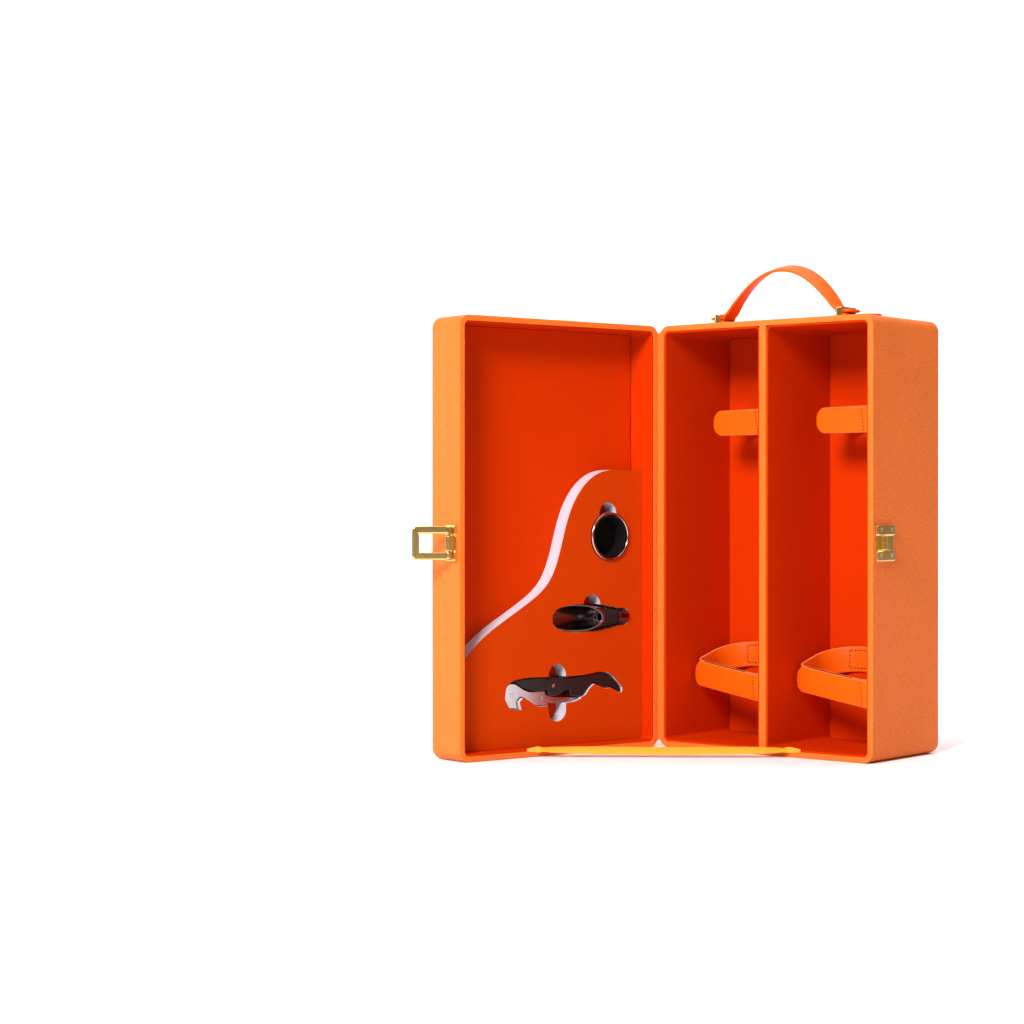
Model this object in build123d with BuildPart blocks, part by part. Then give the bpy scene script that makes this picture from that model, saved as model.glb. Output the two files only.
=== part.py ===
from build123d import *
import math
import os

# Two-bottle wine case in orange leather over board, standing upright with its door open.
# Millimetres. Origin at the centre of the body's bottom, +Z up, the body opens towards -Y,
# and the door hangs on a leather hinge along the body's left front edge.

# Case
case_width = 205.0
case_height = 350.0
body_depth = 102.0
door_depth = 38.0
rim_gap = 1.0
open_angle = 102.5
corner_radius = 9.0
leather = 1.0
board = 3.5
lining = 1.5
lining_recess = 1.2
wall_pad = 4.0
divider_thickness = 6.5
rim_round = 0.7
base_proud = 0.2
base_inset = 14.0
base_front_inset = 8.0

# Door face
face_board = 1.2
face_board_inset = 0.9
panel_thickness = 2.5
panel_inset = 5.0
panel_round = 1.2

# Hinge and stay
hinge_leather_thickness = 0.8
hinge_leg = 12.0
hinge_inner_leg = 4.8
hinge_inner_thickness = 0.4
hinge_end_margin = 10.0
hinge_inner_margin = 5.5
stay_reach = 130.0
stay_tab = 9.0
stay_width = 7.0
stay_thickness = 0.35
stay_height = 2.5

# Handle
handle_y = -19.0
handle_half_span = 54.0
handle_rise = 38.0
foot_bend = 9.0
foot_angle = 62.0
strap_width = 17.5
strap_thickness = 2.4
strap_end = 13.4
strap_tip_radius = 4.0
tab_width = 18.0
tab_thickness = 2.4
tab_start = 51.0
tab_end = 90.0
keeper_x = 58.5
keeper_length = 5.0
keeper_bar = 1.6
soft_gap = 0.3

# Clasp
clasp_height = 171.5
plate_thickness = 1.2
plate_tall = 28.4
pad_proud = 3.0
pad_tall = 8.2
latch_plate_width = 12.7
latch_plate_offset = 3.3
catch_plate_width = 26.0
catch_plate_offset = 3.0
pivot_offset = 7.6
pivot_proud = 5.0
loop_length = 29.0
loop_tall = 26.7
loop_bar = 5.5
loop_thickness = 3.0
loop_corner = 3.2
loop_round = 1.2
loop_opening_tall = 14.4
loop_rest_angle = 120.0
pin_radius = 1.6
pin_clearance = 0.08
curl_radius = 3.0
curl_tall = 11.6
hook_tall = 11.0
hook_stem = 3.4
nail_head = 1.5
nail_shank = 0.75
nail_length = 5.5
nail_head_depth = 0.8

# Insert and its tools, in the closed door's own place
insert_thickness = 14.0
insert_sheet = 0.8
insert_gap = 0.3
tool_gap = 0.5
finger_width = 18.6
ring_x = -61.3
ring_z = 175.2
ring_radius = 20.0
ring_wall = 2.0
ring_felt_wall = 2.2
ring_length = 15.6
ring_lip = 0.9
pourer_z = 108.6
pourer_mouth_x = -1.6
pourer_mouth_length = 49.0
pourer_radius = 10.8
pourer_wall = 0.8
pourer_shoulder_radius = 7.6
pourer_neck_radius = 4.2
pourer_fit = 0.05
pourer_lip_drop = 10.6
sleeve_start = -54.0
sleeve_length = 17.5
sleeve_radius = 8.6
sleeve_end_radius = 6.6
sleeve_fins = 5
tail_length = 9.0
tail_wall = 0.7
corkscrew_thickness = 12.0
lever_thickness = 9.0
tongue_thickness = 4.0
slot_play = 0.3
rivet_radius = 1.5
rivet_proud = 0.3
rivet_play = 0.05
lever_pivot = (37.8, 48.6)
step_pivot = (6.5, 45.0)
worm_pivot = (-3.5, 54.6)
worm_length = 31.0
worm_pitch = 7.2
worm_radius = 1.9
worm_wire = 1.0

# Bottle straps
band_thickness = 2.4
band_height = 21.0
touch_pad = 0.8
touch_gap = 0.3
touch_margin = 3.0
flap_thickness = 2.0
flap_tip_radius = 8.0
seam_radius = 1.25
seam_trim = 0.2
lower_top_back = 87.0
lower_slope = 0.27
lower_wall_gap = 3.5
lower_divider_gap = 3.25
lower_near_depth = 13.0
lower_far_depth = 43.0
lower_back_radius = 26.0
lower_front_radius = 9.0
lower_flap_start = 13.0
lower_flap_margin = 20.25
lower_touch_start = 30.0
lower_touch_margin = 26.75
upper_size = 46.0
upper_radius = 20.0
upper_top_back = 284.0
upper_slope = 0.07
upper_flap_start = 13.0
upper_flap_length = 38.5
upper_touch = (10.0, 16.0)

# Derived places
wall = leather + board
half_width = case_width / 2
shell_height = case_height - base_proud
mid_z = base_proud + shell_height / 2
back_y = body_depth / 2
rim_y = -body_depth / 2
split_y = rim_y - rim_gap / 2
door_rim_y = rim_y - rim_gap
door_shell_depth = door_depth - face_board
door_face_y = door_rim_y - door_depth
door_shell_y = door_rim_y - door_shell_depth
floor_y = door_shell_y + wall + wall_pad
insert_y = floor_y + insert_thickness
body_floor_y = back_y - wall - wall_pad
bay_width = (case_width - 2 * wall - divider_thickness) / 2
bay_x = (divider_thickness + bay_width) / 2
lower_flap_length = bay_width - lower_flap_margin
lower_touch = (lower_touch_start, bay_width - lower_touch_margin)
inner_height = shell_height - 2 * wall
hinge_axis = Axis((-half_width, split_y, 0), (0, 0, 1))


def front_plane(y):
    """Upright plane across the case: its x runs along +X, its y along +Z, its normal to -Y."""
    return Plane(origin=(0, y, 0), x_dir=(1, 0, 0), z_dir=(0, -1, 0))


def side_plane(x):
    """Upright plane along the case: its x runs along +Y, its y along +Z, its normal to +X."""
    return Plane(origin=(x, 0, 0), x_dir=(0, 1, 0), z_dir=(1, 0, 0))


def save(piece, name):
    piece.label = name
    export_step(piece, f"parts/{name}.step")


def opened(piece):
    """Turns a piece of the closed door about the hinge to where the open door holds it."""
    return piece.rotate(hinge_axis, -open_angle)


os.makedirs("parts", exist_ok=True)


def leather_shell(start_y, depth):
    """Leather wrapped over one board tray: sides, broad face and the rim that faces the split."""
    with BuildPart() as shell:
        with BuildSketch(front_plane(start_y)):
            with Locations((0, mid_z)):
                RectangleRounded(case_width, shell_height, corner_radius)
        extrude(amount=depth)
        broad = shell.faces().filter_by(Axis.Y)
        fillet(broad.edges(), rim_round)
    return shell.part


def board_block(start_y, depth, inset, radius):
    with BuildPart() as block:
        with BuildSketch(front_plane(start_y)):
            with Locations((0, mid_z)):
                RectangleRounded(case_width - 2 * inset, shell_height - 2 * inset, radius)
        extrude(amount=depth)
    return block.part


def base_window(y_near, y_far):
    """Room in the wrap's underside for the base panel."""
    length = case_width - 2 * base_inset
    with BuildPart() as window:
        with BuildSketch(Plane.XY):
            with Locations((0, (y_near + y_far) / 2)):
                Rectangle(length, abs(y_far - y_near) - 2 * base_front_inset)
        extrude(amount=base_proud + leather)
    return window.part


# Nails of the two clasp plates: along Y on the side wall, either side of the clasp's middle
latch_plate_y = door_rim_y - latch_plate_offset - latch_plate_width / 2
catch_plate_y = rim_y + catch_plate_offset + catch_plate_width / 2
pad_z = plate_tall / 2 - pad_tall / 2
pivot_y = door_rim_y - pivot_offset
latch_nails_at = [(latch_plate_y - 1.5, side * pad_z) for side in (-1, 1)]
catch_nails_at = [(catch_plate_y + y, side * pad_z) for side in (-1, 1) for y in (-8.0, 8.0)]


def nails(places):
    """Flat-headed nails, heads flush with the plate's pads, shanks in the wall."""
    with BuildPart() as made:
        for y, z in places:
            with BuildSketch(side_plane(half_width + pad_proud)):
                with Locations((y, clasp_height + z)):
                    Circle(nail_head)
            extrude(amount=-nail_head_depth)
            with BuildSketch(side_plane(half_width + pad_proud)):
                with Locations((y, clasp_height + z)):
                    Circle(nail_shank)
            extrude(amount=-nail_length)
    return made.part


# Body: board tray, leather over it, and the flat panel it stands on
body_board_block = board_block(back_y - leather, body_depth - 2 * leather, leather, corner_radius - leather)
body_hollow = board_block(back_y - wall, body_depth, wall, corner_radius - wall)
case_nails = nails(catch_nails_at)

with BuildPart() as case_board:
    add(body_board_block)
    add(body_hollow, mode=Mode.SUBTRACT)
    add(case_nails, mode=Mode.SUBTRACT)
save(case_board.part, "case_board")

with BuildPart() as case_leather:
    add(leather_shell(back_y, body_depth))
    add(body_board_block, mode=Mode.SUBTRACT)
    add(body_hollow, mode=Mode.SUBTRACT)
    add(base_window(rim_y, back_y), mode=Mode.SUBTRACT)
    add(case_nails, mode=Mode.SUBTRACT)
save(case_leather.part, "case_leather")

with BuildPart() as base_panel:
    with BuildSketch(Plane.XY):
        RectangleRounded(case_width - 2 * base_inset - 2 * soft_gap,
                         body_depth - 2 * base_front_inset - 2 * soft_gap, 2.0)
    extrude(amount=base_proud + leather)
save(base_panel.part, "base_panel")

# Divider between the two bottles
with BuildPart() as divider:
    with BuildSketch(front_plane(back_y - wall)):
        with Locations((0, mid_z)):
            Rectangle(divider_thickness, inner_height)
    extrude(amount=body_depth - wall)
    front = divider.faces().sort_by(Axis.Y)[0]
    fillet(front.edges().filter_by(Axis.Z), rim_round)
save(divider.part, "divider")


def bay_sleeve(x, y_from, y_to, width):
    """Lining boards on the four sides of a bay."""
    outer_radius = corner_radius - wall
    with BuildPart() as sleeve:
        with BuildSketch(front_plane(y_from)):
            with Locations((x, mid_z)):
                RectangleRounded(width, inner_height, outer_radius)
                RectangleRounded(width - 2 * lining, inner_height - 2 * lining,
                                 outer_radius - lining, mode=Mode.SUBTRACT)
        extrude(amount=y_from - y_to)
    return sleeve.part


def padded_floor(x, y_back, width):
    """Padded lining over the broad face inside a bay."""
    with BuildPart() as pad:
        with BuildSketch(front_plane(y_back)):
            with Locations((x, mid_z)):
                RectangleRounded(width, inner_height, corner_radius - wall)
        extrude(amount=-wall_pad if y_back < 0 else wall_pad)
    return pad.part


for side, x in (("left", -bay_x), ("right", bay_x)):
    save(padded_floor(x, back_y - wall, bay_width), f"back_pad_{side}")
    save(bay_sleeve(x, body_floor_y, rim_y + lining_recess, bay_width), f"bay_lining_{side}")

# Catch on the body: pads above and below a channel, with the hook standing in it
def clasp_plate(y, width):
    with BuildPart() as plate:
        with BuildSketch(side_plane(half_width)):
            with Locations((y, clasp_height)):
                RectangleRounded(width, plate_tall, 1.2)
        extrude(amount=plate_thickness)
        with BuildSketch(side_plane(half_width)):
            with Locations((y, clasp_height - pad_z), (y, clasp_height + pad_z)):
                RectangleRounded(width, pad_tall, 1.2)
        extrude(amount=pad_proud)
        outer = plate.faces().filter_by(Axis.X).sort_by(Axis.X)[-2:]
        fillet(outer.edges(), 0.8)
    return plate.part


with BuildPart() as catch_plate:
    add(clasp_plate(catch_plate_y, catch_plate_width))
    add(case_nails, mode=Mode.SUBTRACT)
save(catch_plate.part, "catch_plate")
save(case_nails, "catch_nails")

hook_radius = loop_length - loop_bar - soft_gap
pivot_x = half_width + pivot_proud
with BuildPart() as catch_hook:
    with BuildSketch(Plane.XY.offset(clasp_height - hook_tall / 2)):
        with Locations((pivot_x, pivot_y)):
            Circle(hook_radius)
            Circle(hook_radius - hook_stem, mode=Mode.SUBTRACT)
        with Locations(((half_width + plate_thickness + pivot_x + loop_thickness / 2) / 2,
                        pivot_y + hook_radius)):
            Rectangle(pivot_proud + loop_thickness / 2 - plate_thickness, 4 * hook_stem, mode=Mode.INTERSECT)
    extrude(amount=hook_tall)
    fillet(catch_hook.edges().filter_by(Axis.Z).sort_by(Axis.X)[-1], 0.6)
save(catch_hook.part, "catch_hook")

# Handle: tabs folded over the keepers, and a strap that slides through them
top_z = case_height
bar_top = top_z + keeper_bar + soft_gap
bar_half = keeper_length / 2 + soft_gap
strap_z = bar_top + tab_thickness + soft_gap + strap_thickness / 2
keeper_wide = tab_width + 2 * soft_gap + 2 * keeper_bar
keeper_tall = strap_z + strap_thickness / 2 + soft_gap + keeper_bar - top_z
for side, sign in (("left", -1), ("right", 1)):
    with BuildPart() as handle_tab:
        with BuildSketch(front_plane(handle_y)):
            with BuildLine():
                Polyline(
                    (sign * tab_start, top_z),
                    (sign * (keeper_x - bar_half), top_z),
                    (sign * (keeper_x - bar_half), bar_top),
                    (sign * (keeper_x + bar_half), bar_top),
                    (sign * (keeper_x + bar_half), top_z),
                    (sign * tab_end, top_z),
                    (sign * tab_end, top_z + tab_thickness),
                    (sign * (keeper_x + 8), top_z + tab_thickness),
                    (sign * (keeper_x + 4), bar_top + tab_thickness),
                    (sign * (keeper_x - 4), bar_top + tab_thickness),
                    (sign * tab_start, top_z + tab_thickness),
                    close=True,
                )
            make_face()
        extrude(amount=tab_width / 2, both=True)
        far_end = handle_tab.faces().filter_by(Axis.X).sort_by(Axis.X)[-1 if sign > 0 else 0]
        fillet(far_end.edges().filter_by(Axis.Z), 4.0)
    save(handle_tab.part, f"handle_tab_{side}")

    with BuildPart() as keeper:
        with BuildSketch(side_plane(sign * keeper_x - keeper_length / 2)):
            with Locations((handle_y, top_z + keeper_tall / 2)):
                RectangleRounded(keeper_wide, keeper_tall, 1.2)
                Rectangle(keeper_wide - 2 * keeper_bar, keeper_tall - 2 * keeper_bar, mode=Mode.SUBTRACT)
        extrude(amount=keeper_length)
    save(keeper.part, f"keeper_{side}")

    with BuildPart() as handle_end:
        with BuildSketch(Plane.XY.offset(strap_z - strap_thickness / 2)):
            with Locations((sign * (handle_half_span + strap_end / 2), handle_y)):
                Rectangle(strap_end, strap_width)
        extrude(amount=strap_thickness)
        far_end = handle_end.faces().filter_by(Axis.X).sort_by(Axis.X)[-1 if sign > 0 else 0]
        fillet(far_end.edges().filter_by(Axis.Z), strap_tip_radius)
    save(handle_end.part, f"handle_end_{side}")

# Arch of the strap: a bend at each foot, a straight rise, and one wide crest
foot = math.radians(foot_angle)
foot_x = handle_half_span - soft_gap
rise_length = handle_rise / math.tan(foot / 2) - foot_x
crest_radius = (foot_x - rise_length * math.cos(foot)) / math.sin(foot) - foot_bend
crest_center = strap_z + handle_rise - crest_radius
with BuildPart() as handle_strap:
    with BuildSketch(front_plane(handle_y)):
        with BuildLine() as arch:
            crest = CenterArc((0, crest_center), crest_radius, 90 - foot_angle, 2 * foot_angle)
            right_foot = CenterArc((foot_x, strap_z + foot_bend), foot_bend, 270, -foot_angle)
            left_foot = CenterArc((-foot_x, strap_z + foot_bend), foot_bend, 270, foot_angle)
            Line(right_foot @ 1, crest @ 0)
            Line(left_foot @ 1, crest @ 1)
        trace(line_width=strap_thickness)
    extrude(amount=strap_width / 2, both=True)
save(handle_strap.part, "handle_strap")

# Door: the same tray, shallower; each piece is made closed and then opened about the hinge
door_board_block = board_block(door_rim_y - leather, door_shell_depth - 2 * leather, leather,
                               corner_radius - leather)
door_hollow = board_block(door_rim_y + rim_gap, rim_gap + door_shell_depth - wall, wall,
                          corner_radius - wall)
door_nails = nails(latch_nails_at)

with BuildPart() as door_board:
    add(door_board_block)
    add(door_hollow, mode=Mode.SUBTRACT)
    add(door_nails, mode=Mode.SUBTRACT)
save(opened(door_board.part), "door_board")

with BuildPart() as door_leather:
    add(leather_shell(door_rim_y, door_shell_depth))
    add(door_board_block, mode=Mode.SUBTRACT)
    add(door_hollow, mode=Mode.SUBTRACT)
    add(base_window(door_shell_y, door_rim_y), mode=Mode.SUBTRACT)
    add(door_nails, mode=Mode.SUBTRACT)
save(opened(door_leather.part), "door_leather")

with BuildPart() as door_base_panel:
    with BuildSketch(Plane.XY):
        with Locations((0, (door_rim_y + door_shell_y) / 2)):
            RectangleRounded(case_width - 2 * base_inset - 2 * soft_gap,
                             door_shell_depth - 2 * base_front_inset - 2 * soft_gap, 2.0)
    extrude(amount=base_proud + leather)
save(opened(door_base_panel.part), "door_base_panel")

with BuildPart() as door_face_board:
    with BuildSketch(front_plane(door_shell_y)):
        with Locations((0, mid_z)):
            RectangleRounded(case_width - 2 * face_board_inset, shell_height - 2 * face_board_inset,
                             corner_radius - face_board_inset)
    extrude(amount=face_board)
save(opened(door_face_board.part), "door_face_board")

with BuildPart() as door_panel:
    with BuildSketch(front_plane(door_face_y)):
        with Locations((0, mid_z)):
            RectangleRounded(case_width - 2 * panel_inset, shell_height - 2 * panel_inset,
                             corner_radius - panel_inset / 2)
    extrude(amount=panel_thickness)
    fillet(door_panel.faces().sort_by(Axis.Y)[0].edges(), panel_round)
save(opened(door_panel.part), "door_panel")

door_inner_width = case_width - 2 * wall
save(opened(padded_floor(0, door_shell_y + wall, door_inner_width)), "door_floor_pad")
save(opened(bay_sleeve(0, door_rim_y - lining_recess, floor_y, door_inner_width)), "door_lining")

# Clasp's base on the door, with the curl that holds the loop, and the loop itself
with BuildPart() as latch_plate:
    add(clasp_plate(latch_plate_y, latch_plate_width))
    with BuildSketch(Plane.XY.offset(clasp_height - curl_tall / 2)):
        with Locations((pivot_x, pivot_y)):
            Circle(curl_radius)
        with Locations((half_width + pivot_proud / 2, pivot_y)):
            Rectangle(pivot_proud, 2 * curl_radius - 1.4)
        with Locations((pivot_x, pivot_y)):
            Circle(pin_radius + pin_clearance, mode=Mode.SUBTRACT)
    extrude(amount=curl_tall)
    add(door_nails, mode=Mode.SUBTRACT)
save(opened(latch_plate.part), "latch_plate")
save(opened(door_nails), "latch_nails")

loop_side = (loop_tall - loop_opening_tall) / 2
with BuildPart() as latch_loop:
    with BuildSketch(Plane.XZ.offset(-pivot_y)):
        with Locations((pivot_x + loop_length / 2, clasp_height)):
            RectangleRounded(loop_length, loop_tall, loop_corner)
        with Locations((pivot_x + (loop_length - loop_bar) / 2, clasp_height)):
            Rectangle(loop_length - loop_bar, loop_opening_tall, mode=Mode.SUBTRACT)
    extrude(amount=loop_thickness / 2, both=True)
    soft = latch_loop.edges().group_by(Axis.Y)
    fillet(soft[0] + soft[-1], loop_round)
    with BuildSketch(Plane.XY.offset(clasp_height - loop_tall / 2 + 1.0)):
        with Locations((pivot_x, pivot_y)):
            Circle(pin_radius)
    extrude(amount=loop_tall - 2.0)
loop_axis = Axis((pivot_x, pivot_y, 0), (0, 0, 1))
loop_at_rest = latch_loop.part.rotate(loop_axis, 90 - loop_rest_angle)
save(opened(loop_at_rest), "latch_loop")

# Insert: foam with a sheet over it, cut out for the tools and for the fingers that lift them
corkscrew_y = floor_y + soft_gap + corkscrew_thickness / 2
pourer_y = floor_y + soft_gap + pourer_radius
sleeve_end_x = sleeve_start - sleeve_length
tail_end_x = sleeve_end_x - tail_length


def lever_profile(y):
    """Steel lever seen square to the door: head at the right, folded under the handle."""
    with BuildSketch(front_plane(y)) as profile:
        with BuildLine():
            Line((4.2, 50.2), (15.6, 50.0))
            Spline((15.6, 50.0), (25.0, 51.8), (33.0, 56.2), (38.5, 57.6), tangents=((1, 0), (1, 0)))
            Spline((38.5, 57.6), (44.6, 53.2), (46.4, 46.3), (41.7, 38.5), tangents=((1, 0), (-0.7, -1)))
            Line((41.7, 38.5), (31.3, 37.6))
            ThreePointArc((31.3, 37.6), (33.4, 43.4), (28.7, 47.1))
            Polyline((28.7, 47.1), (25.2, 45.9), (13.9, 39.4), (1.5, 39.4), (4.2, 50.2))
        make_face()
    return profile.sketch


def handle_profile(y):
    """Black handle of the corkscrew: thick at the middle, a hooked end at the left."""
    with BuildSketch(front_plane(y)) as profile:
        with BuildLine():
            Spline((36.5, 60.0), (23.5, 61.4), (0.6, 61.0), (-17.2, 60.4), (-35.3, 61.0), (-48.9, 62.8),
                   (-65.5, 58.2), (-74.6, 48.6))
            ThreePointArc((-74.6, 48.6), (-74.2, 46.7), (-72.0, 46.5))
            Spline((-72.0, 46.5), (-64.0, 51.0), (-57.2, 50.9), (-45.3, 55.3), (-40.0, 51.6),
                   (-35.3, 46.3), (-29.4, 44.9))
            Polyline((-29.4, 44.9), (-21.7, 45.2), (-19.6, 50.6), (-6.5, 46.2), (0.0, 46.4), (3.0, 51.4),
                     (9.0, 51.0))
            Spline((9.0, 51.0), (15.6, 50.9), (26.0, 53.6), (36.5, 60.0))
        make_face()
    return profile.sketch


def step_profile(y):
    """Slim second step of the lever, hinged at the lever's free end."""
    with BuildSketch(front_plane(y)) as profile:
        with BuildLine():
            Polyline((6.5, 42.0), (-4.7, 40.2), (-24.4, 41.4), (-29.8, 42.8), (-23.5, 44.0), (-8.3, 44.4),
                     (-4.0, 45.2), (6.5, 48.0), close=True)
        make_face()
        with Locations(step_pivot):
            Circle(3.0)
    return profile.sketch


lever_sketch = lever_profile(corkscrew_y)
handle_sketch = handle_profile(corkscrew_y)
step_sketch = step_profile(corkscrew_y)
insert_side = half_width - wall - lining - insert_gap
insert_foot = base_proud + wall + lining + insert_gap
insert_top = 230.3
insert_low = 62.0
insert_chamfer = 2.0


def insert_layer(near, far):
    """One layer of the insert, cut out for the tools and for the fingers that lift them."""
    mouth_side = pourer_radius + tool_gap
    tail_side = sleeve_end_radius + tool_gap
    with BuildPart() as layer:
        with BuildSketch(front_plane(floor_y + near)):
            with BuildLine():
                Polyline((insert_side, insert_low), (insert_side, insert_foot + insert_chamfer),
                         (insert_side - insert_chamfer, insert_foot),
                         (insert_chamfer - insert_side, insert_foot),
                         (-insert_side, insert_foot + insert_chamfer), (-insert_side, insert_top),
                         (-66.0, insert_top))
                Spline((-66.0, insert_top), (-36.0, 218.4), (-19.6, 194.6), (-6.9, 156.2), (3.9, 136.9),
                       (21.5, 123.4), (49.5, 107.7), (70.1, 94.7), (insert_side, insert_low))
            make_face()
            with Locations((ring_x, ring_z)):
                Circle(ring_radius + tool_gap, mode=Mode.SUBTRACT)
            with Locations((ring_x + 1.5, ring_z + ring_radius - 1.0),
                           (-42.8, pourer_z + pourer_radius - 0.6)):
                Circle(finger_width / 2, mode=Mode.SUBTRACT)
            with Locations((-6.3, 48.7)):
                SlotOverall(46.8, finger_width, rotation=90, mode=Mode.SUBTRACT)
            with BuildLine():
                FilletPolyline(
                    (pourer_mouth_x - 24, pourer_z - mouth_side),
                    (pourer_mouth_x - 12, pourer_z - mouth_side + 1),
                    (pourer_mouth_x - 4, pourer_z - mouth_side + 3.7),
                    (pourer_mouth_x + tool_gap, pourer_z - 3.5),
                    (pourer_mouth_x + tool_gap, pourer_z + 3.5),
                    (pourer_mouth_x - 4, pourer_z + mouth_side - 3.7),
                    (pourer_mouth_x - 12, pourer_z + mouth_side - 1),
                    (pourer_mouth_x - 24, pourer_z + mouth_side),
                    (sleeve_start + 5, pourer_z + mouth_side),
                    (sleeve_end_x, pourer_z + tail_side),
                    (tail_end_x - tool_gap, pourer_z + tail_side),
                    (tail_end_x - tool_gap, pourer_z - tail_side),
                    (sleeve_end_x, pourer_z - tail_side),
                    (sleeve_start + 5, pourer_z - mouth_side),
                    radius=2.5, close=True)
            make_face(mode=Mode.SUBTRACT)
            with BuildLine():
                Polyline(
                    (47.6, 46.2), (46.2, 54.8), (41.8, 59.2), (37.2, 61.0), (23.5, 62.3), (0.6, 61.9),
                    (-17.2, 61.4), (-35.3, 62.0), (-48.9, 63.8), (-59.5, 63.1), (-66.3, 59.3),
                    (-76.0, 49.6), (-75.2, 45.8), (-71.8, 45.5), (-63.8, 49.8), (-57.0, 49.7),
                    (-45.8, 54.0), (-40.9, 50.8), (-36.3, 45.4), (-31.3, 43.4), (-31.2, 42.4),
                    (-24.6, 40.4), (-4.9, 39.2), (1.0, 38.4), (14.1, 38.4), (25.6, 44.8), (28.6, 46.0),
                    (32.2, 43.0), (30.2, 36.7), (42.4, 37.6), close=True)
            make_face(mode=Mode.SUBTRACT)
        extrude(amount=near - far)
    return layer.part


foam_thickness = insert_thickness - insert_sheet
save(opened(insert_layer(0, foam_thickness)), "insert_foam")
save(opened(insert_layer(foam_thickness, insert_thickness)), "insert_sheet")

# Drip ring: steel band with felt inside, standing on the tray's padded floor
ring_back = floor_y + soft_gap
with BuildPart() as ring_shell:
    with BuildSketch(front_plane(ring_back)):
        with Locations((ring_x, ring_z)):
            Circle(ring_radius)
            Circle(ring_radius - ring_wall, mode=Mode.SUBTRACT)
    extrude(amount=-ring_length)
    fillet(ring_shell.faces().filter_by(Axis.Y).edges(), ring_wall * 0.3)
save(opened(ring_shell.part), "ring_shell")

with BuildPart() as ring_felt:
    with BuildSketch(front_plane(ring_back + ring_lip)):
        with Locations((ring_x, ring_z)):
            Circle(ring_radius - ring_wall)
            Circle(ring_radius - ring_wall - ring_felt_wall, mode=Mode.SUBTRACT)
    extrude(amount=-(ring_length - 2 * ring_lip))
save(opened(ring_felt.part), "ring_felt")

# Pourer: steel scoop with a slanted mouth, ribbed stopper sleeve, tail tube
pourer_axis = Axis((0, pourer_y, pourer_z), (1, 0, 0))
neck_end_x = sleeve_start - 6.0
shoulder_x = sleeve_start + 18.0
collar_x = sleeve_start + soft_gap
bulge = pourer_radius - 1.1


def at_radius(x, radius):
    return (x, pourer_z + radius)


with BuildPart() as pourer_spout:
    with BuildSketch(front_plane(pourer_y)):
        with BuildLine():
            Line(at_radius(pourer_mouth_x, pourer_radius), at_radius(shoulder_x, pourer_radius))
            Spline(at_radius(shoulder_x, pourer_radius), at_radius(sleeve_start + 9, bulge),
                   at_radius(collar_x, pourer_shoulder_radius), tangents=((-1, 0), (-1, -0.6)))
            Polyline(at_radius(collar_x, pourer_shoulder_radius),
                     at_radius(collar_x, pourer_neck_radius),
                     at_radius(neck_end_x, pourer_neck_radius),
                     at_radius(neck_end_x, pourer_neck_radius - pourer_wall),
                     at_radius(collar_x + pourer_wall, pourer_neck_radius - pourer_wall),
                     at_radius(collar_x + pourer_wall, pourer_shoulder_radius - pourer_wall))
            Spline(at_radius(collar_x + pourer_wall, pourer_shoulder_radius - pourer_wall),
                   at_radius(sleeve_start + 9, bulge - pourer_wall),
                   at_radius(shoulder_x, pourer_radius - pourer_wall), tangents=((1, 0.6), (1, 0)))
            Polyline(at_radius(shoulder_x, pourer_radius - pourer_wall),
                     at_radius(pourer_mouth_x, pourer_radius - pourer_wall),
                     at_radius(pourer_mouth_x, pourer_radius))
        make_face()
    revolve(axis=pourer_axis)
    with BuildSketch(Plane.XY.offset(pourer_z)):
        with BuildLine():
            Polyline((pourer_mouth_x + 0.1, pourer_y - pourer_lip_drop),
                     (pourer_mouth_x - pourer_mouth_length, pourer_y + pourer_radius - 1.6),
                     (pourer_mouth_x - pourer_mouth_length, pourer_y + 2 * pourer_radius),
                     (pourer_mouth_x + 5, pourer_y + 2 * pourer_radius),
                     (pourer_mouth_x + 5, pourer_y - pourer_lip_drop), close=True)
        make_face()
    extrude(amount=2 * pourer_radius, both=True, mode=Mode.SUBTRACT)
save(opened(pourer_spout.part), "pourer_spout")

fin_pitch = sleeve_length / sleeve_fins
with BuildPart() as pourer_sleeve:
    with BuildSketch(front_plane(pourer_y)):
        with BuildLine():
            corners = [(sleeve_start, pourer_z + pourer_neck_radius + pourer_fit)]
            for fin in range(sleeve_fins):
                crown = sleeve_radius + (sleeve_end_radius - sleeve_radius) * fin / (sleeve_fins - 1)
                start = sleeve_start - fin * fin_pitch
                corners += [(start, pourer_z + crown), (start - fin_pitch * 0.55, pourer_z + crown - 0.3),
                            (start - fin_pitch * 0.65, pourer_z + crown - 1.2),
                            (start - fin_pitch, pourer_z + crown - 1.2)]
            corners += [(sleeve_end_x, pourer_z + pourer_neck_radius + pourer_fit)]
            Polyline(*corners, close=True)
        make_face()
    revolve(axis=pourer_axis)
save(opened(pourer_sleeve.part), "pourer_sleeve")

with BuildPart() as pourer_tail:
    with BuildSketch(side_plane(tail_end_x)):
        with Locations((pourer_y, pourer_z)):
            Circle(sleeve_end_radius - 1.2)
    extrude(amount=tail_length)
    with BuildSketch(side_plane(sleeve_end_x)):
        with Locations((pourer_y, pourer_z)):
            Circle(pourer_neck_radius)
    extrude(amount=6.0)
    with BuildSketch(side_plane(tail_end_x)):
        with Locations((pourer_y, pourer_z)):
            Circle(pourer_neck_radius - tail_wall)
    extrude(amount=tail_length + 6.0, mode=Mode.SUBTRACT)
save(opened(pourer_tail.part), "pourer_tail")

# Corkscrew: folded waiter's pattern, its worm lying in the handle's slot
tongue_slot = tongue_thickness + 2 * slot_play
worm_slot = 2 * (worm_radius + worm_wire + slot_play)


def rivet_hole(spot, thickness):
    with BuildPart() as hole:
        with BuildSketch(front_plane(corkscrew_y)):
            with Locations(spot):
                Circle(rivet_radius + rivet_play)
        extrude(amount=thickness / 2, both=True)
    return hole.part


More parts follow.
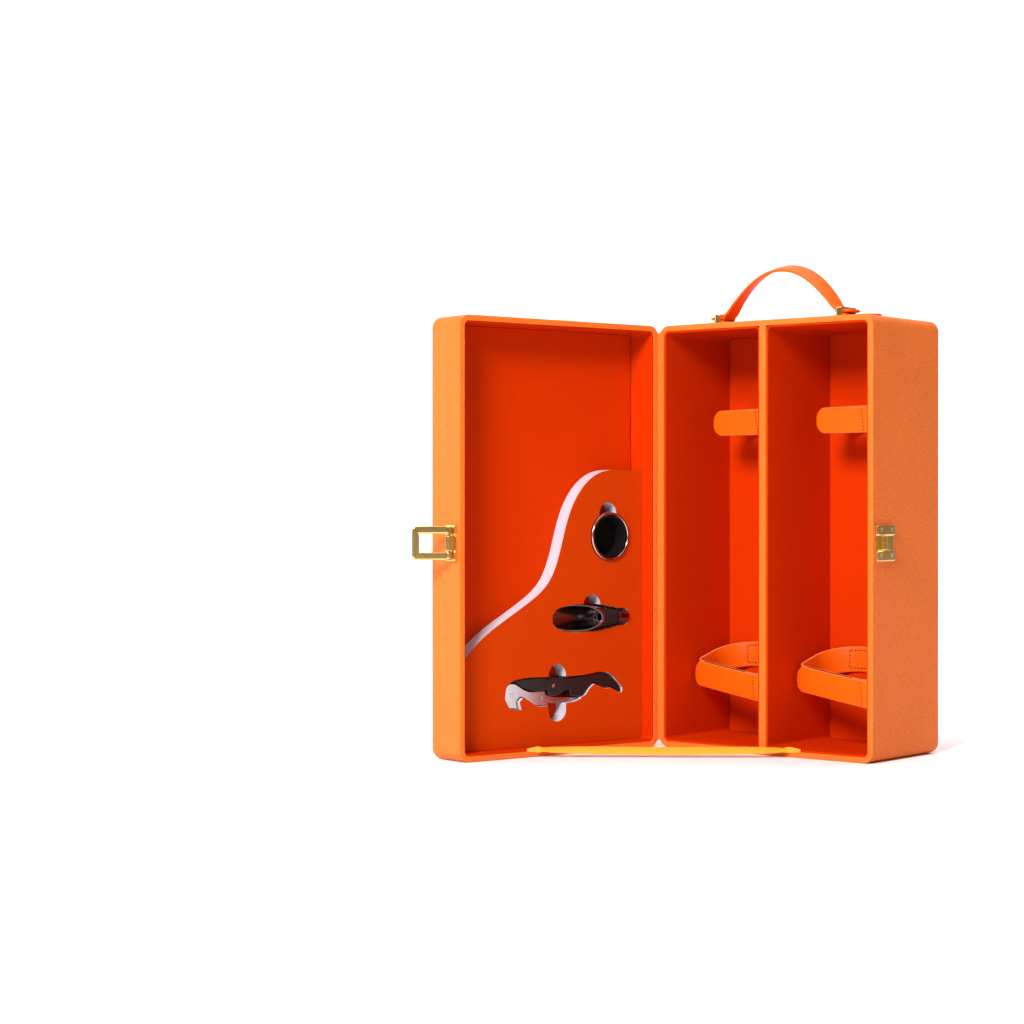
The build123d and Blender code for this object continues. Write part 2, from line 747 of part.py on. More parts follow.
with BuildPart() as corkscrew_handle:
    extrude(handle_sketch, amount=corkscrew_thickness / 2, both=True)
    fillet(corkscrew_handle.faces().filter_by(Axis.Y).edges(), 0.8)
    with BuildSketch(front_plane(corkscrew_y)):
        with BuildLine():
            Polyline((24.0, 57.5), (36.0, 59.3), (41.5, 52.5), (41.0, 45.5), (35.0, 45.3), (32.8, 51.0),
                     (26.0, 52.6), close=True)
        make_face()
    extrude(amount=tongue_thickness / 2, both=True)
    with Locations(((worm_pivot[0] + 3.5 + worm_pivot[0] - worm_length - 5.5) / 2, corkscrew_y, 48.9)):
        Box(worm_length + 9.0, worm_slot, 18.0, mode=Mode.SUBTRACT)
    add(rivet_hole(worm_pivot, corkscrew_thickness + 1), mode=Mode.SUBTRACT)
    add(rivet_hole(lever_pivot, corkscrew_thickness + 1), mode=Mode.SUBTRACT)
save(opened(corkscrew_handle.part), "corkscrew_handle")

with BuildPart() as corkscrew_lever:
    extrude(lever_sketch, amount=lever_thickness / 2, both=True)
    with Locations((36.0, corkscrew_y, 50.0), (2.0, corkscrew_y, 45.0)):
        Box(30.0, tongue_slot, 30.0, mode=Mode.SUBTRACT)
    add(rivet_hole(lever_pivot, lever_thickness + 1), mode=Mode.SUBTRACT)
    add(rivet_hole(step_pivot, lever_thickness + 1), mode=Mode.SUBTRACT)
save(opened(corkscrew_lever.part), "corkscrew_lever")

with BuildPart() as corkscrew_step:
    extrude(step_sketch, amount=tongue_thickness / 2, both=True)
    add(rivet_hole(step_pivot, tongue_thickness + 1), mode=Mode.SUBTRACT)
save(opened(corkscrew_step.part), "corkscrew_step")

with BuildPart() as corkscrew_rivets:
    for spot, thickness in ((lever_pivot, lever_thickness), (step_pivot, lever_thickness),
                            (worm_pivot, corkscrew_thickness - 2 * rivet_proud)):
        with BuildSketch(front_plane(corkscrew_y)):
            with Locations(spot):
                Circle(rivet_radius)
        extrude(amount=thickness / 2 + rivet_proud, both=True)
save(opened(corkscrew_rivets.part), "corkscrew_rivets")

with BuildPart() as worm_coil:
    with BuildLine() as worm_line:
        Helix(worm_pitch, worm_length, worm_radius)
    with BuildSketch(Plane(origin=worm_line.line @ 0, z_dir=worm_line.line % 0)):
        Circle(worm_wire)
    sweep(path=worm_line.line)
worm_place = Plane(origin=(worm_pivot[0] - 2.8, corkscrew_y, worm_pivot[1]),
                   x_dir=(0, 0, 1), z_dir=(-1, 0, 0))
with BuildPart() as corkscrew_worm:
    add(worm_place.location * worm_coil.part)
    with BuildSketch(front_plane(corkscrew_y)):
        with Locations(worm_pivot):
            Circle(3.0)
    extrude(amount=worm_radius + worm_wire, both=True)
    add(rivet_hole(worm_pivot, corkscrew_thickness + 1), mode=Mode.SUBTRACT)
save(opened(corkscrew_worm.part), "corkscrew_worm")

# Bottle straps: a closed band sewn to the back of each bay, and a flap that closes over its front
def slope_slab(top_back, slope):
    """Tilted slab that trims an upright loop to the band's height."""
    with BuildPart() as slab:
        with BuildSketch(Plane.YZ):
            with BuildLine():
                Polyline((back_y, top_back), (rim_y, top_back - slope * (back_y - rim_y)),
                         (rim_y, top_back - slope * (back_y - rim_y) - band_height),
                         (back_y, top_back - band_height), close=True)
            make_face()
        extrude(amount=case_width, both=True)
    return slab.part


def band(loop_plan, top_back, slope):
    with BuildPart() as made:
        extrude(offset(loop_plan, amount=band_thickness / 2, mode=Mode.PRIVATE), amount=case_height)
        extrude(offset(loop_plan, amount=-band_thickness / 2, mode=Mode.PRIVATE), amount=case_height,
                mode=Mode.SUBTRACT)
        add(slope_slab(top_back, slope), mode=Mode.INTERSECT)
    return made.part


def strap_piece(front, span, height, slant, thickness, near, tip):
    """Flat strip standing on a front line's plane, from one distance along it to another."""
    start, end = span
    with BuildPart() as strip:
        with BuildSketch(front.offset(near)) as outline:
            with BuildLine():
                Polyline((start, start * slant - height / 2), (end, end * slant - height / 2),
                         (end, end * slant + height / 2), (start, start * slant + height / 2), close=True)
            make_face()
            if tip:
                fillet(outline.vertices().sort_by(Axis(front.origin, front.x_dir))[-2:], tip)
        extrude(amount=thickness)
    return strip.part


band_back_y = body_floor_y - band_thickness / 2
loop_near = band_thickness / 2
hook_near = loop_near + touch_pad + touch_gap
flap_near = hook_near + touch_pad
seam_near = loop_near + touch_gap + seam_radius


def strap_set(name, side, plan, top_back, slope, front, slant, flap_start, flap_length, touch):
    """One bottle strap: band, its touch-tape strip, the flap and the strip under the flap."""
    start = flap_start
    end = flap_start + flap_length
    save(band(plan, top_back, slope), f"{name}_band_{side}")
    strip_height = band_height - 2 * touch_margin
    save(strap_piece(front, touch, strip_height, slant, touch_pad, loop_near, 0), f"{name}_loop_{side}")
    save(strap_piece(front, touch, strip_height, slant, touch_pad, hook_near, 0), f"{name}_hook_{side}")
    with BuildPart() as flap:
        add(strap_piece(front, (start, end), band_height, slant, flap_thickness, flap_near, flap_tip_radius))
        bead = front.from_local_coords((start, start * slant, seam_near))
        with BuildSketch(Plane.XY.offset(bead.Z - band_height / 2 + seam_trim)):
            with Locations((bead.X, bead.Y)):
                Circle(seam_radius)
        extrude(amount=band_height - 2 * seam_trim)
    save(flap.part, f"{name}_flap_{side}")
    print(name, side, "flap axis", round(bead.X, 3), round(bead.Y, 3))


for side, shift in (("left", 0), ("right", 2 * bay_x)):
    near_x = shift - divider_thickness / 2 - lining - lower_divider_gap
    far_x = shift - half_width + wall + lining + lower_wall_gap
    corners = (
        ((far_x, band_back_y), lower_back_radius),
        ((far_x, rim_y + lower_far_depth), lower_front_radius),
        ((near_x, rim_y + lower_near_depth), lower_front_radius),
        ((near_x, band_back_y), lower_back_radius),
    )
    with BuildSketch() as lower_plan:
        with BuildLine():
            Polyline(*[point for point, _ in corners], close=True)
        make_face()
        for point, radius in corners:
            fillet(lower_plan.vertices().sort_by_distance((*point, 0))[0], radius)
    near_corner = corners[2][0]
    far_corner = corners[1][0]
    along = Vector(far_corner[0] - near_corner[0], far_corner[1] - near_corner[1], 0).normalized()
    lower_mid = lower_top_back - lower_slope * (back_y - near_corner[1]) - band_height / 2
    front = Plane(origin=(*near_corner, lower_mid), x_dir=along, z_dir=(-along.Y, along.X, 0))
    strap_set("lower", side, lower_plan.sketch, lower_top_back, lower_slope, front,
              -lower_slope * along.Y, lower_flap_start, lower_flap_length, lower_touch)

    center = (shift - bay_x, band_back_y - upper_size / 2)
    with BuildSketch() as upper_plan:
        with Locations(center):
            RectangleRounded(upper_size, upper_size, upper_radius)
    upper_mid = upper_top_back - upper_slope * (back_y - center[1] + upper_size / 2) - band_height / 2
    front = Plane(origin=(center[0] + upper_flap_start, center[1] - upper_size / 2, upper_mid),
                  x_dir=(-1, 0, 0), z_dir=(0, -1, 0))
    strap_set("upper", side, upper_plan.sketch, upper_top_back, upper_slope, front, 0,
              0, upper_flap_length, upper_touch)

# Leather hinge: one strip outside over both walls, one inside over both rims
open_turn = math.radians(-open_angle)


def opened_point(x, y):
    """Where the open door holds a point given from the hinge line in the closed door."""
    return (x * math.cos(open_turn) - y * math.sin(open_turn),
            x * math.sin(open_turn) + y * math.cos(open_turn))


hinge_plane = Plane(origin=(-half_width, split_y, 0))
leg = hinge_leg + rim_gap / 2
half_fold = math.radians(180 - open_angle) / 2
fold_reach = hinge_leather_thickness / math.tan(half_fold)
with BuildPart() as hinge_leather:
    with BuildSketch(hinge_plane.offset(hinge_end_margin)):
        with BuildLine():
            Polyline((0, rim_gap / 2), (0, leg), (-hinge_leather_thickness, leg),
                     (-hinge_leather_thickness, fold_reach), opened_point(-hinge_leather_thickness, -leg),
                     opened_point(0, -leg), opened_point(0, -rim_gap / 2), close=True)
        make_face()
    extrude(amount=case_height - 2 * hinge_end_margin)
save(hinge_leather.part, "hinge_leather")

inner_y = rim_gap / 2 - hinge_inner_thickness / 2
with BuildPart() as hinge_lining:
    with BuildSketch(hinge_plane.offset(hinge_inner_margin)):
        with BuildLine():
            Polyline((hinge_inner_leg, inner_y), (0.5, inner_y), opened_point(0.5, -inner_y),
                     opened_point(hinge_inner_leg, -inner_y))
        trace(line_width=hinge_inner_thickness)
    extrude(amount=case_height - 2 * hinge_inner_margin)
save(hinge_lining.part, "hinge_lining")

# Ribbon stay that stops the door
stay_y = rim_gap / 2 - stay_thickness / 2
with BuildPart() as stay_ribbon:
    with BuildSketch(hinge_plane.offset(stay_height)):
        with BuildLine():
            Polyline((stay_reach + stay_tab, stay_y), (stay_reach, stay_y), opened_point(stay_reach, -stay_y),
                     opened_point(stay_reach + stay_tab, -stay_y))
        trace(line_width=stay_thickness)
    extrude(amount=stay_width)
save(stay_ribbon.part, "stay_ribbon")
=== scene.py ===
"""Looks for the leather wine case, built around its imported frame."""

import math

import bpy
from mathutils import Matrix, Vector


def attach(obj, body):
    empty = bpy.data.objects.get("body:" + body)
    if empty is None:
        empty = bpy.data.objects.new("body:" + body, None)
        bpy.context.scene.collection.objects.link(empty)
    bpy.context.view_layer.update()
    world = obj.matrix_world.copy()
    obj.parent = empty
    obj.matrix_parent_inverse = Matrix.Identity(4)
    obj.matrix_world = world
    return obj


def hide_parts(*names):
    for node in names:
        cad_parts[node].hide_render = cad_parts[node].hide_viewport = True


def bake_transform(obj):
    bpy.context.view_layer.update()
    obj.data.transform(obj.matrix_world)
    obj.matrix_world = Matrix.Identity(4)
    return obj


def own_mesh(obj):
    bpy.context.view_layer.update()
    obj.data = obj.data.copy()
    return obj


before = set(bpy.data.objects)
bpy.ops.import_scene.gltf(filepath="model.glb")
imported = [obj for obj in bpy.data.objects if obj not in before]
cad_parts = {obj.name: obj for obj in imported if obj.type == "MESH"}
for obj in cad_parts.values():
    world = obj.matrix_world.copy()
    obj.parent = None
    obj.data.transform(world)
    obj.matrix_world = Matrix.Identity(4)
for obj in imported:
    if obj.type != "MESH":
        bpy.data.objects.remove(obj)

bl_info = {
    "name": "Leather wine case",
    "version": (1, 0, 0),
    "blender": (4, 5, 0),
    "location": "View3D > Sidebar > Wine Case",
    "description": "Leather, linings, straps, clasp and tools of an upright two-bottle wine case",
    "category": "Object",
}

# Sizes and places are in millimetres until MM turns them into metres.
MM = 0.001
HINGE_X = -102.5
HINGE_Y = -51.5
OPEN_ANGLE = math.radians(102.5)
MID_HEIGHT = 175.1
BAY_X = 50.625
HANDLE_Y = -19.0
HANDLE_Z = 355.8
RING_X = -61.3
RING_Z = 175.2
FLAP_HEIGHT = 4.1
TAPE_GAP = {"loop": 1.6, "hook": 2.7}
RIBBON_X = HINGE_X + 130.0
RIBBON_Z = 6.0
CAMERA_PLACE = (1.0236, -1.5868, 0.2026)
CAMERA_TILT = math.radians(89.781)
CAMERA_TURN = math.radians(39.943)
UP = Vector((0, 0, 1))


# Places

def opened(x, y, z):
    """Point of the closed door, in millimetres, where the open door holds it, in metres."""
    turn = -OPEN_ANGLE
    dx = x - HINGE_X
    dy = y - HINGE_Y
    return Vector((
        (HINGE_X + dx * math.cos(turn) - dy * math.sin(turn)) * MM,
        (HINGE_Y + dx * math.sin(turn) + dy * math.cos(turn)) * MM,
        z * MM,
    ))


def fixed(x, y, z):
    """Point in millimetres, in metres."""
    return Vector((x * MM, y * MM, z * MM))


# Materials

class Reading:
    """A number carried by a socket, so that shader maths reads as Python."""

    def __init__(self, finish, socket):
        self.finish = finish
        self.socket = socket

    def _math(self, operation, first, second):
        values = [v.socket if isinstance(v, Reading) else v for v in (first, second)]
        made = self.finish.node("ShaderNodeMath", {"operation": operation}, {0: values[0], 1: values[1]})
        return Reading(self.finish, made.outputs[0])

    def __add__(self, other):
        return self._math("ADD", self, other)

    __radd__ = __add__

    def __sub__(self, other):
        return self._math("SUBTRACT", self, other)

    def __rsub__(self, other):
        return self._math("SUBTRACT", other, self)

    def __mul__(self, other):
        return self._math("MULTIPLY", self, other)

    __rmul__ = __mul__

    def wave(self):
        return self._math("SINE", self, 0.0)

    def absolute(self):
        return self._math("ABSOLUTE", self, 0.0)


class Finish:
    """One material, made of nodes."""

    def __init__(self, name, **sockets):
        self.material = bpy.data.materials.new(name)
        self.material.use_nodes = True
        self.tree = self.material.node_tree
        self.tree.nodes.clear()
        self.surface = self.node("ShaderNodeBsdfPrincipled", {}, {})
        self.node("ShaderNodeOutputMaterial", {}, {"Surface": self.surface.outputs[0]})
        self.place = self.node("ShaderNodeTexCoord", {}, {}).outputs["Object"]
        for key, value in sockets.items():
            self.surface.inputs[key.replace("_", " ")].default_value = value

    def node(self, kind, settings, inputs):
        made = self.tree.nodes.new(kind)
        for key, value in settings.items():
            setattr(made, key, value)
        for key, value in inputs.items():
            value = value.socket if isinstance(value, Reading) else value
            if isinstance(value, bpy.types.NodeSocket):
                self.tree.links.new(value, made.inputs[key])
            else:
                made.inputs[key].default_value = value
        return made

    def stretched(self, scale):
        """Object coordinates scaled by a different number along each axis."""
        made = self.node("ShaderNodeVectorMath", {"operation": "MULTIPLY"}, {0: self.place, 1: scale})
        return made.outputs[0]

    def noise(self, scale, detail=3.0, roughness=0.55, vector=None):
        made = self.node("ShaderNodeTexNoise", {}, {
            "Vector": vector or self.place, "Scale": scale, "Detail": detail, "Roughness": roughness})
        return Reading(self, made.outputs[0])

    def cells(self, scale, feature="F1", vector=None):
        made = self.node("ShaderNodeTexVoronoi", {"feature": feature}, {
            "Vector": vector or self.place, "Scale": scale})
        return Reading(self, made.outputs["Distance"])

    def axis(self, name):
        made = self.node("ShaderNodeSeparateXYZ", {}, {0: self.place})
        return Reading(self, made.outputs[name])

    def facing(self, name):
        """How far the surface faces along an axis."""
        made = self.node("ShaderNodeSeparateXYZ", {}, {0: self.place.node.outputs["Normal"]})
        return Reading(self, made.outputs[name])

    def mix(self, share, first, second):
        made = self.node("ShaderNodeMix", {"data_type": "RGBA"}, {})
        for index, value in ((0, share), (6, first), (7, second)):
            value = value.socket if isinstance(value, Reading) else value
            if isinstance(value, bpy.types.NodeSocket):
                self.tree.links.new(value, made.inputs[index])
            else:
                made.inputs[index].default_value = value
        return made.outputs[2]

    def colour(self, socket):
        self.tree.links.new(socket, self.surface.inputs["Base Color"])

    def rough(self, reading):
        self.tree.links.new(reading.socket, self.surface.inputs["Roughness"])

    def bump(self, height, depth, edge=0.0):
        inputs = {"Height": height, "Distance": depth}
        if edge:
            inputs["Normal"] = self.node("ShaderNodeBevel", {"samples": 6}, {"Radius": edge}).outputs[0]
        made = self.node("ShaderNodeBump", {}, inputs)
        self.tree.links.new(made.outputs[0], self.surface.inputs["Normal"])


def shade(colour, factor):
    return tuple(min(1.0, c * factor) for c in colour[:3]) + (1.0,)


def grained_leather(name, colour, grain=1300.0, depth=0.0002, roughness=0.5, tone=0.10, gloss=0.22,
                    cut=None):
    """Embossed leather: fine pebbled cells, level ridges, slow drift of tone.

    cut is a painted highlight: a lighter, pinker colour on the strap edges that face up or down, standing in
    for the light the rounded edges catch."""
    finish = Finish(name, Specular_IOR_Level=gloss)
    slow = finish.noise(18.0, 2.0)
    fine = finish.noise(grain * 0.6, 2.0)
    pebble = finish.cells(grain)
    ridges = finish.noise(grain * 0.3, 3.0, vector=finish.stretched((0.45, 0.45, 2.2)))
    share = slow * 0.4 + pebble * 0.25 + ridges * 1.7 - 0.72
    surface = finish.mix(share, shade(colour, 1 + tone), shade(colour, 1 - tone))
    # Painted highlight: edges facing up or down take the lighter cut colour, for the light caught by the
    # rounded strap edges.
    if cut:
        edge = (finish.facing("Z").absolute() - 0.42) * 7.0
        surface = finish.mix(edge, surface, cut)
    finish.colour(surface)
    finish.rough(fine * 0.14 + (roughness - 0.07))
    finish.bump(pebble * 0.6 + ridges * 0.7 + fine * 0.15, depth)
    return finish.material


def brushed_lining(name, colour, roughness=0.72, depth=0.00006, tone=0.09):
    """Smooth lining leather with a soft nap and very fine grain."""
    finish = Finish(name, Specular_IOR_Level=0.02)
    slow = finish.noise(9.0, 3.0)
    nap = finish.noise(900.0, 4.0, 0.7)
    streak = finish.noise(140.0, 2.0, vector=finish.stretched((1.0, 1.0, 0.25)))
    finish.colour(finish.mix(slow * 0.8 + nap * 0.25, shade(colour, 1 + tone), shade(colour, 1 - tone)))
    finish.rough(nap * 0.15 + (roughness - 0.08))
    finish.bump(nap * 0.7 + streak * 0.3, depth)
    return finish.material


def polished_metal(name, colour, roughness, brushed=0.0, tone=0.05, rounding=0.0004):
    """Metal with faint rolling marks and small changes of polish."""
    finish = Finish(name, Metallic=1.0)
    drift = finish.noise(60.0, 2.0)
    lines = finish.noise(500.0, 2.0, vector=finish.stretched((1.0, 1.0, 0.05)))
    finish.colour(finish.mix(drift, shade(colour, 1 + tone), shade(colour, 1 - tone)))
    finish.rough(drift * 0.06 + lines * brushed + (roughness - 0.04))
    finish.bump(lines * 0.5 + drift * 0.5, 0.00001, edge=rounding)
    return finish.material


def moulded(name, colour, roughness, grain=1600.0, depth=0.00004, coat=0.0):
    """Moulded plastic or rubber with a fine spark-eroded texture."""
    finish = Finish(name, Coat_Roughness=0.25)
    skin = finish.noise(grain, 3.0, 0.7)
    drift = finish.noise(60.0, 2.0)
    finish.colour(finish.mix(drift, shade(colour, 1.25), shade(colour, 0.8)))
    finish.rough(skin * 0.2 + drift * 0.08 + (roughness - 0.14))
    finish.bump(skin, depth)
    finish.surface.inputs["Coat Weight"].default_value = coat
    return finish.material


def open_foam(name, colour):
    """Cut foam: fine cells on the knife-cut edge."""
    finish = Finish(name)
    cell = finish.cells(1500.0)
    drift = finish.noise(45.0, 2.0)
    finish.colour(finish.mix(cell * 0.5 + drift * 0.5, shade(colour, 1.06), shade(colour, 0.86)))
    finish.rough(cell * 0.1 + 0.82)
    finish.bump(cell, 0.00008)
    return finish.material


def woven_ribbon(name, colour):
    """Satin ribbon: fine warp across a soft sheen."""
    finish = Finish(name, Sheen_Weight=0.35, Sheen_Roughness=0.3)
    height = finish.axis("Z")
    warp = (height * 15700.0).wave()
    drift = finish.noise(60.0, 2.0)
    finish.colour(finish.mix(warp * 0.12 + drift * 0.5, shade(colour, 1.08), shade(colour, 0.82)))
    finish.rough(drift * 0.12 + 0.30)
    finish.bump(warp, 0.00004)
    return finish.material


def thread(name, colour):
    """Waxed sewing thread with its twist."""
    finish = Finish(name)
    twist = finish.noise(2600.0, 2.0)
    finish.colour(finish.mix(twist, shade(colour, 1.15), shade(colour, 0.75)))
    finish.rough(twist * 0.15 + 0.5)
    finish.bump(twist, 0.00005)
    return finish.material


def felted(name, colour):
    """Felt or touch tape: short tangled fibres."""
    finish = Finish(name, Specular_IOR_Level=0.1)
    fibre = finish.noise(2200.0, 5.0, 0.75)
    drift = finish.noise(300.0, 2.0)
    finish.colour(finish.mix(fibre, shade(colour, 1.5), shade(colour, 0.6)))
    finish.rough(drift * 0.1 + 0.86)
    finish.bump(fibre, 0.0003)
    return finish.material


# Meshes

def add_mesh(name, points, faces, material, smooth=True):
    mesh = bpy.data.meshes.new(name)
    mesh.from_pydata([tuple(p) for p in points], [], faces)
    mesh.validate()
    for face in mesh.polygons:
        face.use_smooth = smooth
    made = bpy.data.objects.new(name, mesh)
    bpy.context.scene.collection.objects.link(made)
    mesh.materials.append(material)
    return made


def smooth_line(points, count):
    """Even samples of a smooth line through the points."""
    points = [Vector(p) for p in points]
    ends = [2 * points[0] - points[1]] + points + [2 * points[-1] - points[-2]]
    dense = []
    for i in range(1, len(ends) - 2):
        a, b, c, d = ends[i - 1:i + 3]
        for k in range(24):
            t = k / 24
            dense.append(0.5 * ((2 * b) + (c - a) * t + (2 * a - 5 * b + 4 * c - d) * t * t
                                + (3 * b - a - 3 * c + d) * t * t * t))
    dense.append(points[-1])
    return even_line(dense, count)


def closer_at_end(line, reach):
    """The same line with extra points over its last stretch, for a rounded end."""
    last = line[-1]
    kept = [p for p in line if (p - last).length > reach]
    start = kept[-1]
    return kept + [start.lerp(last, math.sin(math.radians(90 * k / 14))) for k in range(1, 15)]


def even_line(line, count):
    lengths = [0.0]
    for a, b in zip(line, line[1:]):
        lengths.append(lengths[-1] + (b - a).length)
    samples = []
    spot = 0
    for k in range(count):
        want = lengths[-1] * k / (count - 1)
        while spot < len(line) - 2 and lengths[spot + 1] < want:
            spot += 1
        step = max(lengths[spot + 1] - lengths[spot], 1e-9)
        samples.append(line[spot].lerp(line[spot + 1], (want - lengths[spot]) / step))
    return samples


def strap_section(width, thickness, steps=7):
    """Cross-section of a strap: flat faces and rounded edges, as pairs of (across, through)."""
    half = thickness / 2
    flat = width / 2 - half
    section = []
    for side, start in ((1, -90), (-1, 90)):
        for k in range(steps):
            angle = math.radians(start + 180 * k / (steps - 1))
            section.append((side * flat + half * math.cos(angle), half * math.sin(angle)))
    return section


def strap(name, line, across, width, thickness, material, closed=False, corners=(0.0, 0.0), taper=0.0):
    """Leather strap swept along a line. across gives the direction of its width at each point,
    corners the radius of the corners at either end, taper the length over which the ends narrow."""
    points = []
    faces = []
    count = len(line)
    travelled = [0.0]
    for a, b in zip(line, line[1:]):
        travelled.append(travelled[-1] + (b - a).length)
    total = travelled[-1]
    for i, spot in enumerate(line):
        before = line[i - 1] if (i or closed) else line[0]
        after = line[(i + 1) % count] if (i < count - 1 or closed) else line[-1]
        along = (after - before).normalized()
        side = across[i] if isinstance(across, list) else across
        side = (side - along * side.dot(along)).normalized()
        out = along.cross(side).normalized()
        nearest = min(travelled[i], total - travelled[i])
        local = width * (0.3 + 0.7 * nearest / taper) if nearest < taper else width
        for at_end, radius in ((travelled[i], corners[0]), (total - travelled[i], corners[1])):
            if at_end < radius:
                reach = math.sqrt(max(radius ** 2 - (radius - at_end) ** 2, (0.15 * radius) ** 2))
                local = min(local, width - 2 * radius + 2 * reach)
        for u, v in strap_section(local, thickness):
            points.append(spot + side * u + out * v)
    ring = len(strap_section(width, thickness))
    loops = count if closed else count - 1
    for i in range(loops):
        a = i * ring
        b = ((i + 1) % count) * ring
        for k in range(ring):
            m = (k + 1) % ring
            faces.append((a + k, a + m, b + m, b + k))
    if not closed:
        faces.append(tuple(range(ring - 1, -1, -1)))
        faces.append(tuple((count - 1) * ring + k for k in range(ring)))
    return add_mesh(name, points, faces, material)


def stitch_row(name, line, normals, material, pitch=3.6, share=0.68, thick=0.42, sink=0.25):
    """Row of stitches along a line: short rounded beads of thread lying on the surface."""
    lengths = [0.0]
    for a, b in zip(line, line[1:]):
        lengths.append(lengths[-1] + (b - a).length)
    total = lengths[-1]
    count = max(1, int(round(total / (pitch * MM))))
    points = []
    faces = []

    def at(distance):
        distance = min(max(distance, 0.0), total)
        spot = 0
        while spot < len(line) - 2 and lengths[spot + 1] < distance:
            spot += 1
        step = max(lengths[spot + 1] - lengths[spot], 1e-9)
        t = (distance - lengths[spot]) / step
        normal = normals[spot] if isinstance(normals, list) else normals
        return line[spot].lerp(line[spot + 1], t), normal

    around = 6
    for k in range(count):
        middle = (k + 0.5) * total / count
        reach = total / count * share / 2
        base = len(points)
        for j, (offset, size) in enumerate(((-1, 0.35), (-0.7, 0.85), (0, 1.0), (0.7, 0.85), (1, 0.35))):
            spot, normal = at(middle + offset * reach)
            ahead, _ = at(middle + offset * reach + 0.0004)
            behind, _ = at(middle + offset * reach - 0.0004)
            along = (ahead - behind).normalized()
            side = along.cross(normal).normalized()
            drop = -sink * MM if abs(offset) == 1 else 0.0
            for m in range(around):
                angle = math.tau * m / around
                points.append(spot + normal * drop + side * (math.cos(angle) * thick * size * MM)
                              + normal * (math.sin(angle) * thick * 0.75 * size * MM))
        for j in range(4):
            for m in range(around):
                n = (m + 1) % around
                a = base + j * around
                faces.append((a + m, a + n, a + around + n, a + around + m))
        faces.append(tuple(base + m for m in range(around - 1, -1, -1)))
        faces.append(tuple(base + 4 * around + m for m in range(around)))
    return add_mesh(name, points, faces, material)


def rounded_outline(width, height, radius, corner_steps=8, side_steps=10):
    """Outline of a rounded rectangle, counter-clockwise, with the same number of points at any size."""
    outline = []
    for k, (cx, cy) in enumerate(((1, 1), (-1, 1), (-1, -1), (1, -1))):
        mx = cx * (width / 2 - radius)
        my = cy * (height / 2 - radius)
        for s in range(corner_steps + 1):
            angle = math.radians(90 * k + 90 * s / corner_steps)
            outline.append((mx + radius * math.cos(angle), my + radius * math.sin(angle)))
        nxt = ((-1, 1), (-1, -1), (1, -1), (1, 1))[k]
        nx = nxt[0] * (width / 2 - radius)
        ny = nxt[1] * (height / 2 - radius)
        start = math.radians(90 * (k + 1))
        ax, ay = outline[-1]
        bx = nx + radius * math.cos(start)
        by = ny + radius * math.sin(start)
        for s in range(1, side_steps):
            outline.append((ax + (bx - ax) * s / side_steps, ay + (by - ay) * s / side_steps))
    return outline


def padded_panel(name, place, width, height, radius, thickness, material, roll=1.6, crown=0.5, groove=None):
    """Thin padded panel: rolled edge, soft crown and, where it is sewn, a groove along the seam.

    place turns (across, up, out) in millimetres into a point."""
    at_edge = [0.0, 0.15, 0.45, 0.9, 1.5, 2.0]
    at_seam = [2.4, 2.7, 3.0, 3.3, 3.6, 4.1]
    inside = [5.0, 7.0, 10.0, 15.0, 22.0, 32.0, 42.0]
    depths = [d for d in at_edge + at_seam + inside if d < min(width, height) / 2 - 2]
    points = []
    faces = []

    def ring(depth, rise):
        r = max(radius - depth, 0.6)
        return [place(u, v, rise) for u, v in rounded_outline(width - 2 * depth, height - 2 * depth, r)]

    points += ring(0.0, 0.0)
    for depth in depths:
        edge = min(depth / roll, 1.0)
        rise = thickness * math.sqrt(max(1 - (1 - edge) ** 2, 0.0))
        rise = max(rise, 0.12 * thickness)
        rise += crown * (1 - math.exp(-depth / 12.0))
        if groove:
            rise -= 0.45 * math.exp(-((depth - groove) / 0.7) ** 2)
        points += ring(depth, rise)
    count = len(rounded_outline(10, 10, 1))
    rings = len(depths) + 1
    for i in range(rings - 1):
        for k in range(count):
            m = (k + 1) % count
            faces.append((i * count + k, i * count + m, (i + 1) * count + m, (i + 1) * count + k))
    faces.append(tuple((rings - 1) * count + k for k in range(count)))
    faces.append(tuple(range(count - 1, -1, -1)))
    return add_mesh(name, points, faces, material)


def paint(material, *nodes):
    """Gives CAD nodes their material."""
    for node in nodes:
        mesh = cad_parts[node].data
        mesh.materials.clear()
        mesh.materials.append(material)


def put(piece, body, slot, *nodes):
    """A new piece rides on its body and stands for CAD nodes. Its slot is not used."""
    if nodes:
        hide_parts(*nodes)
    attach(piece, body)
    return piece


# Settings

def colour_setting(name, value, note):
    return bpy.props.FloatVectorProperty(
        name=name, description=note, subtype="COLOR", size=4, min=0.0, max=1.0, default=value)


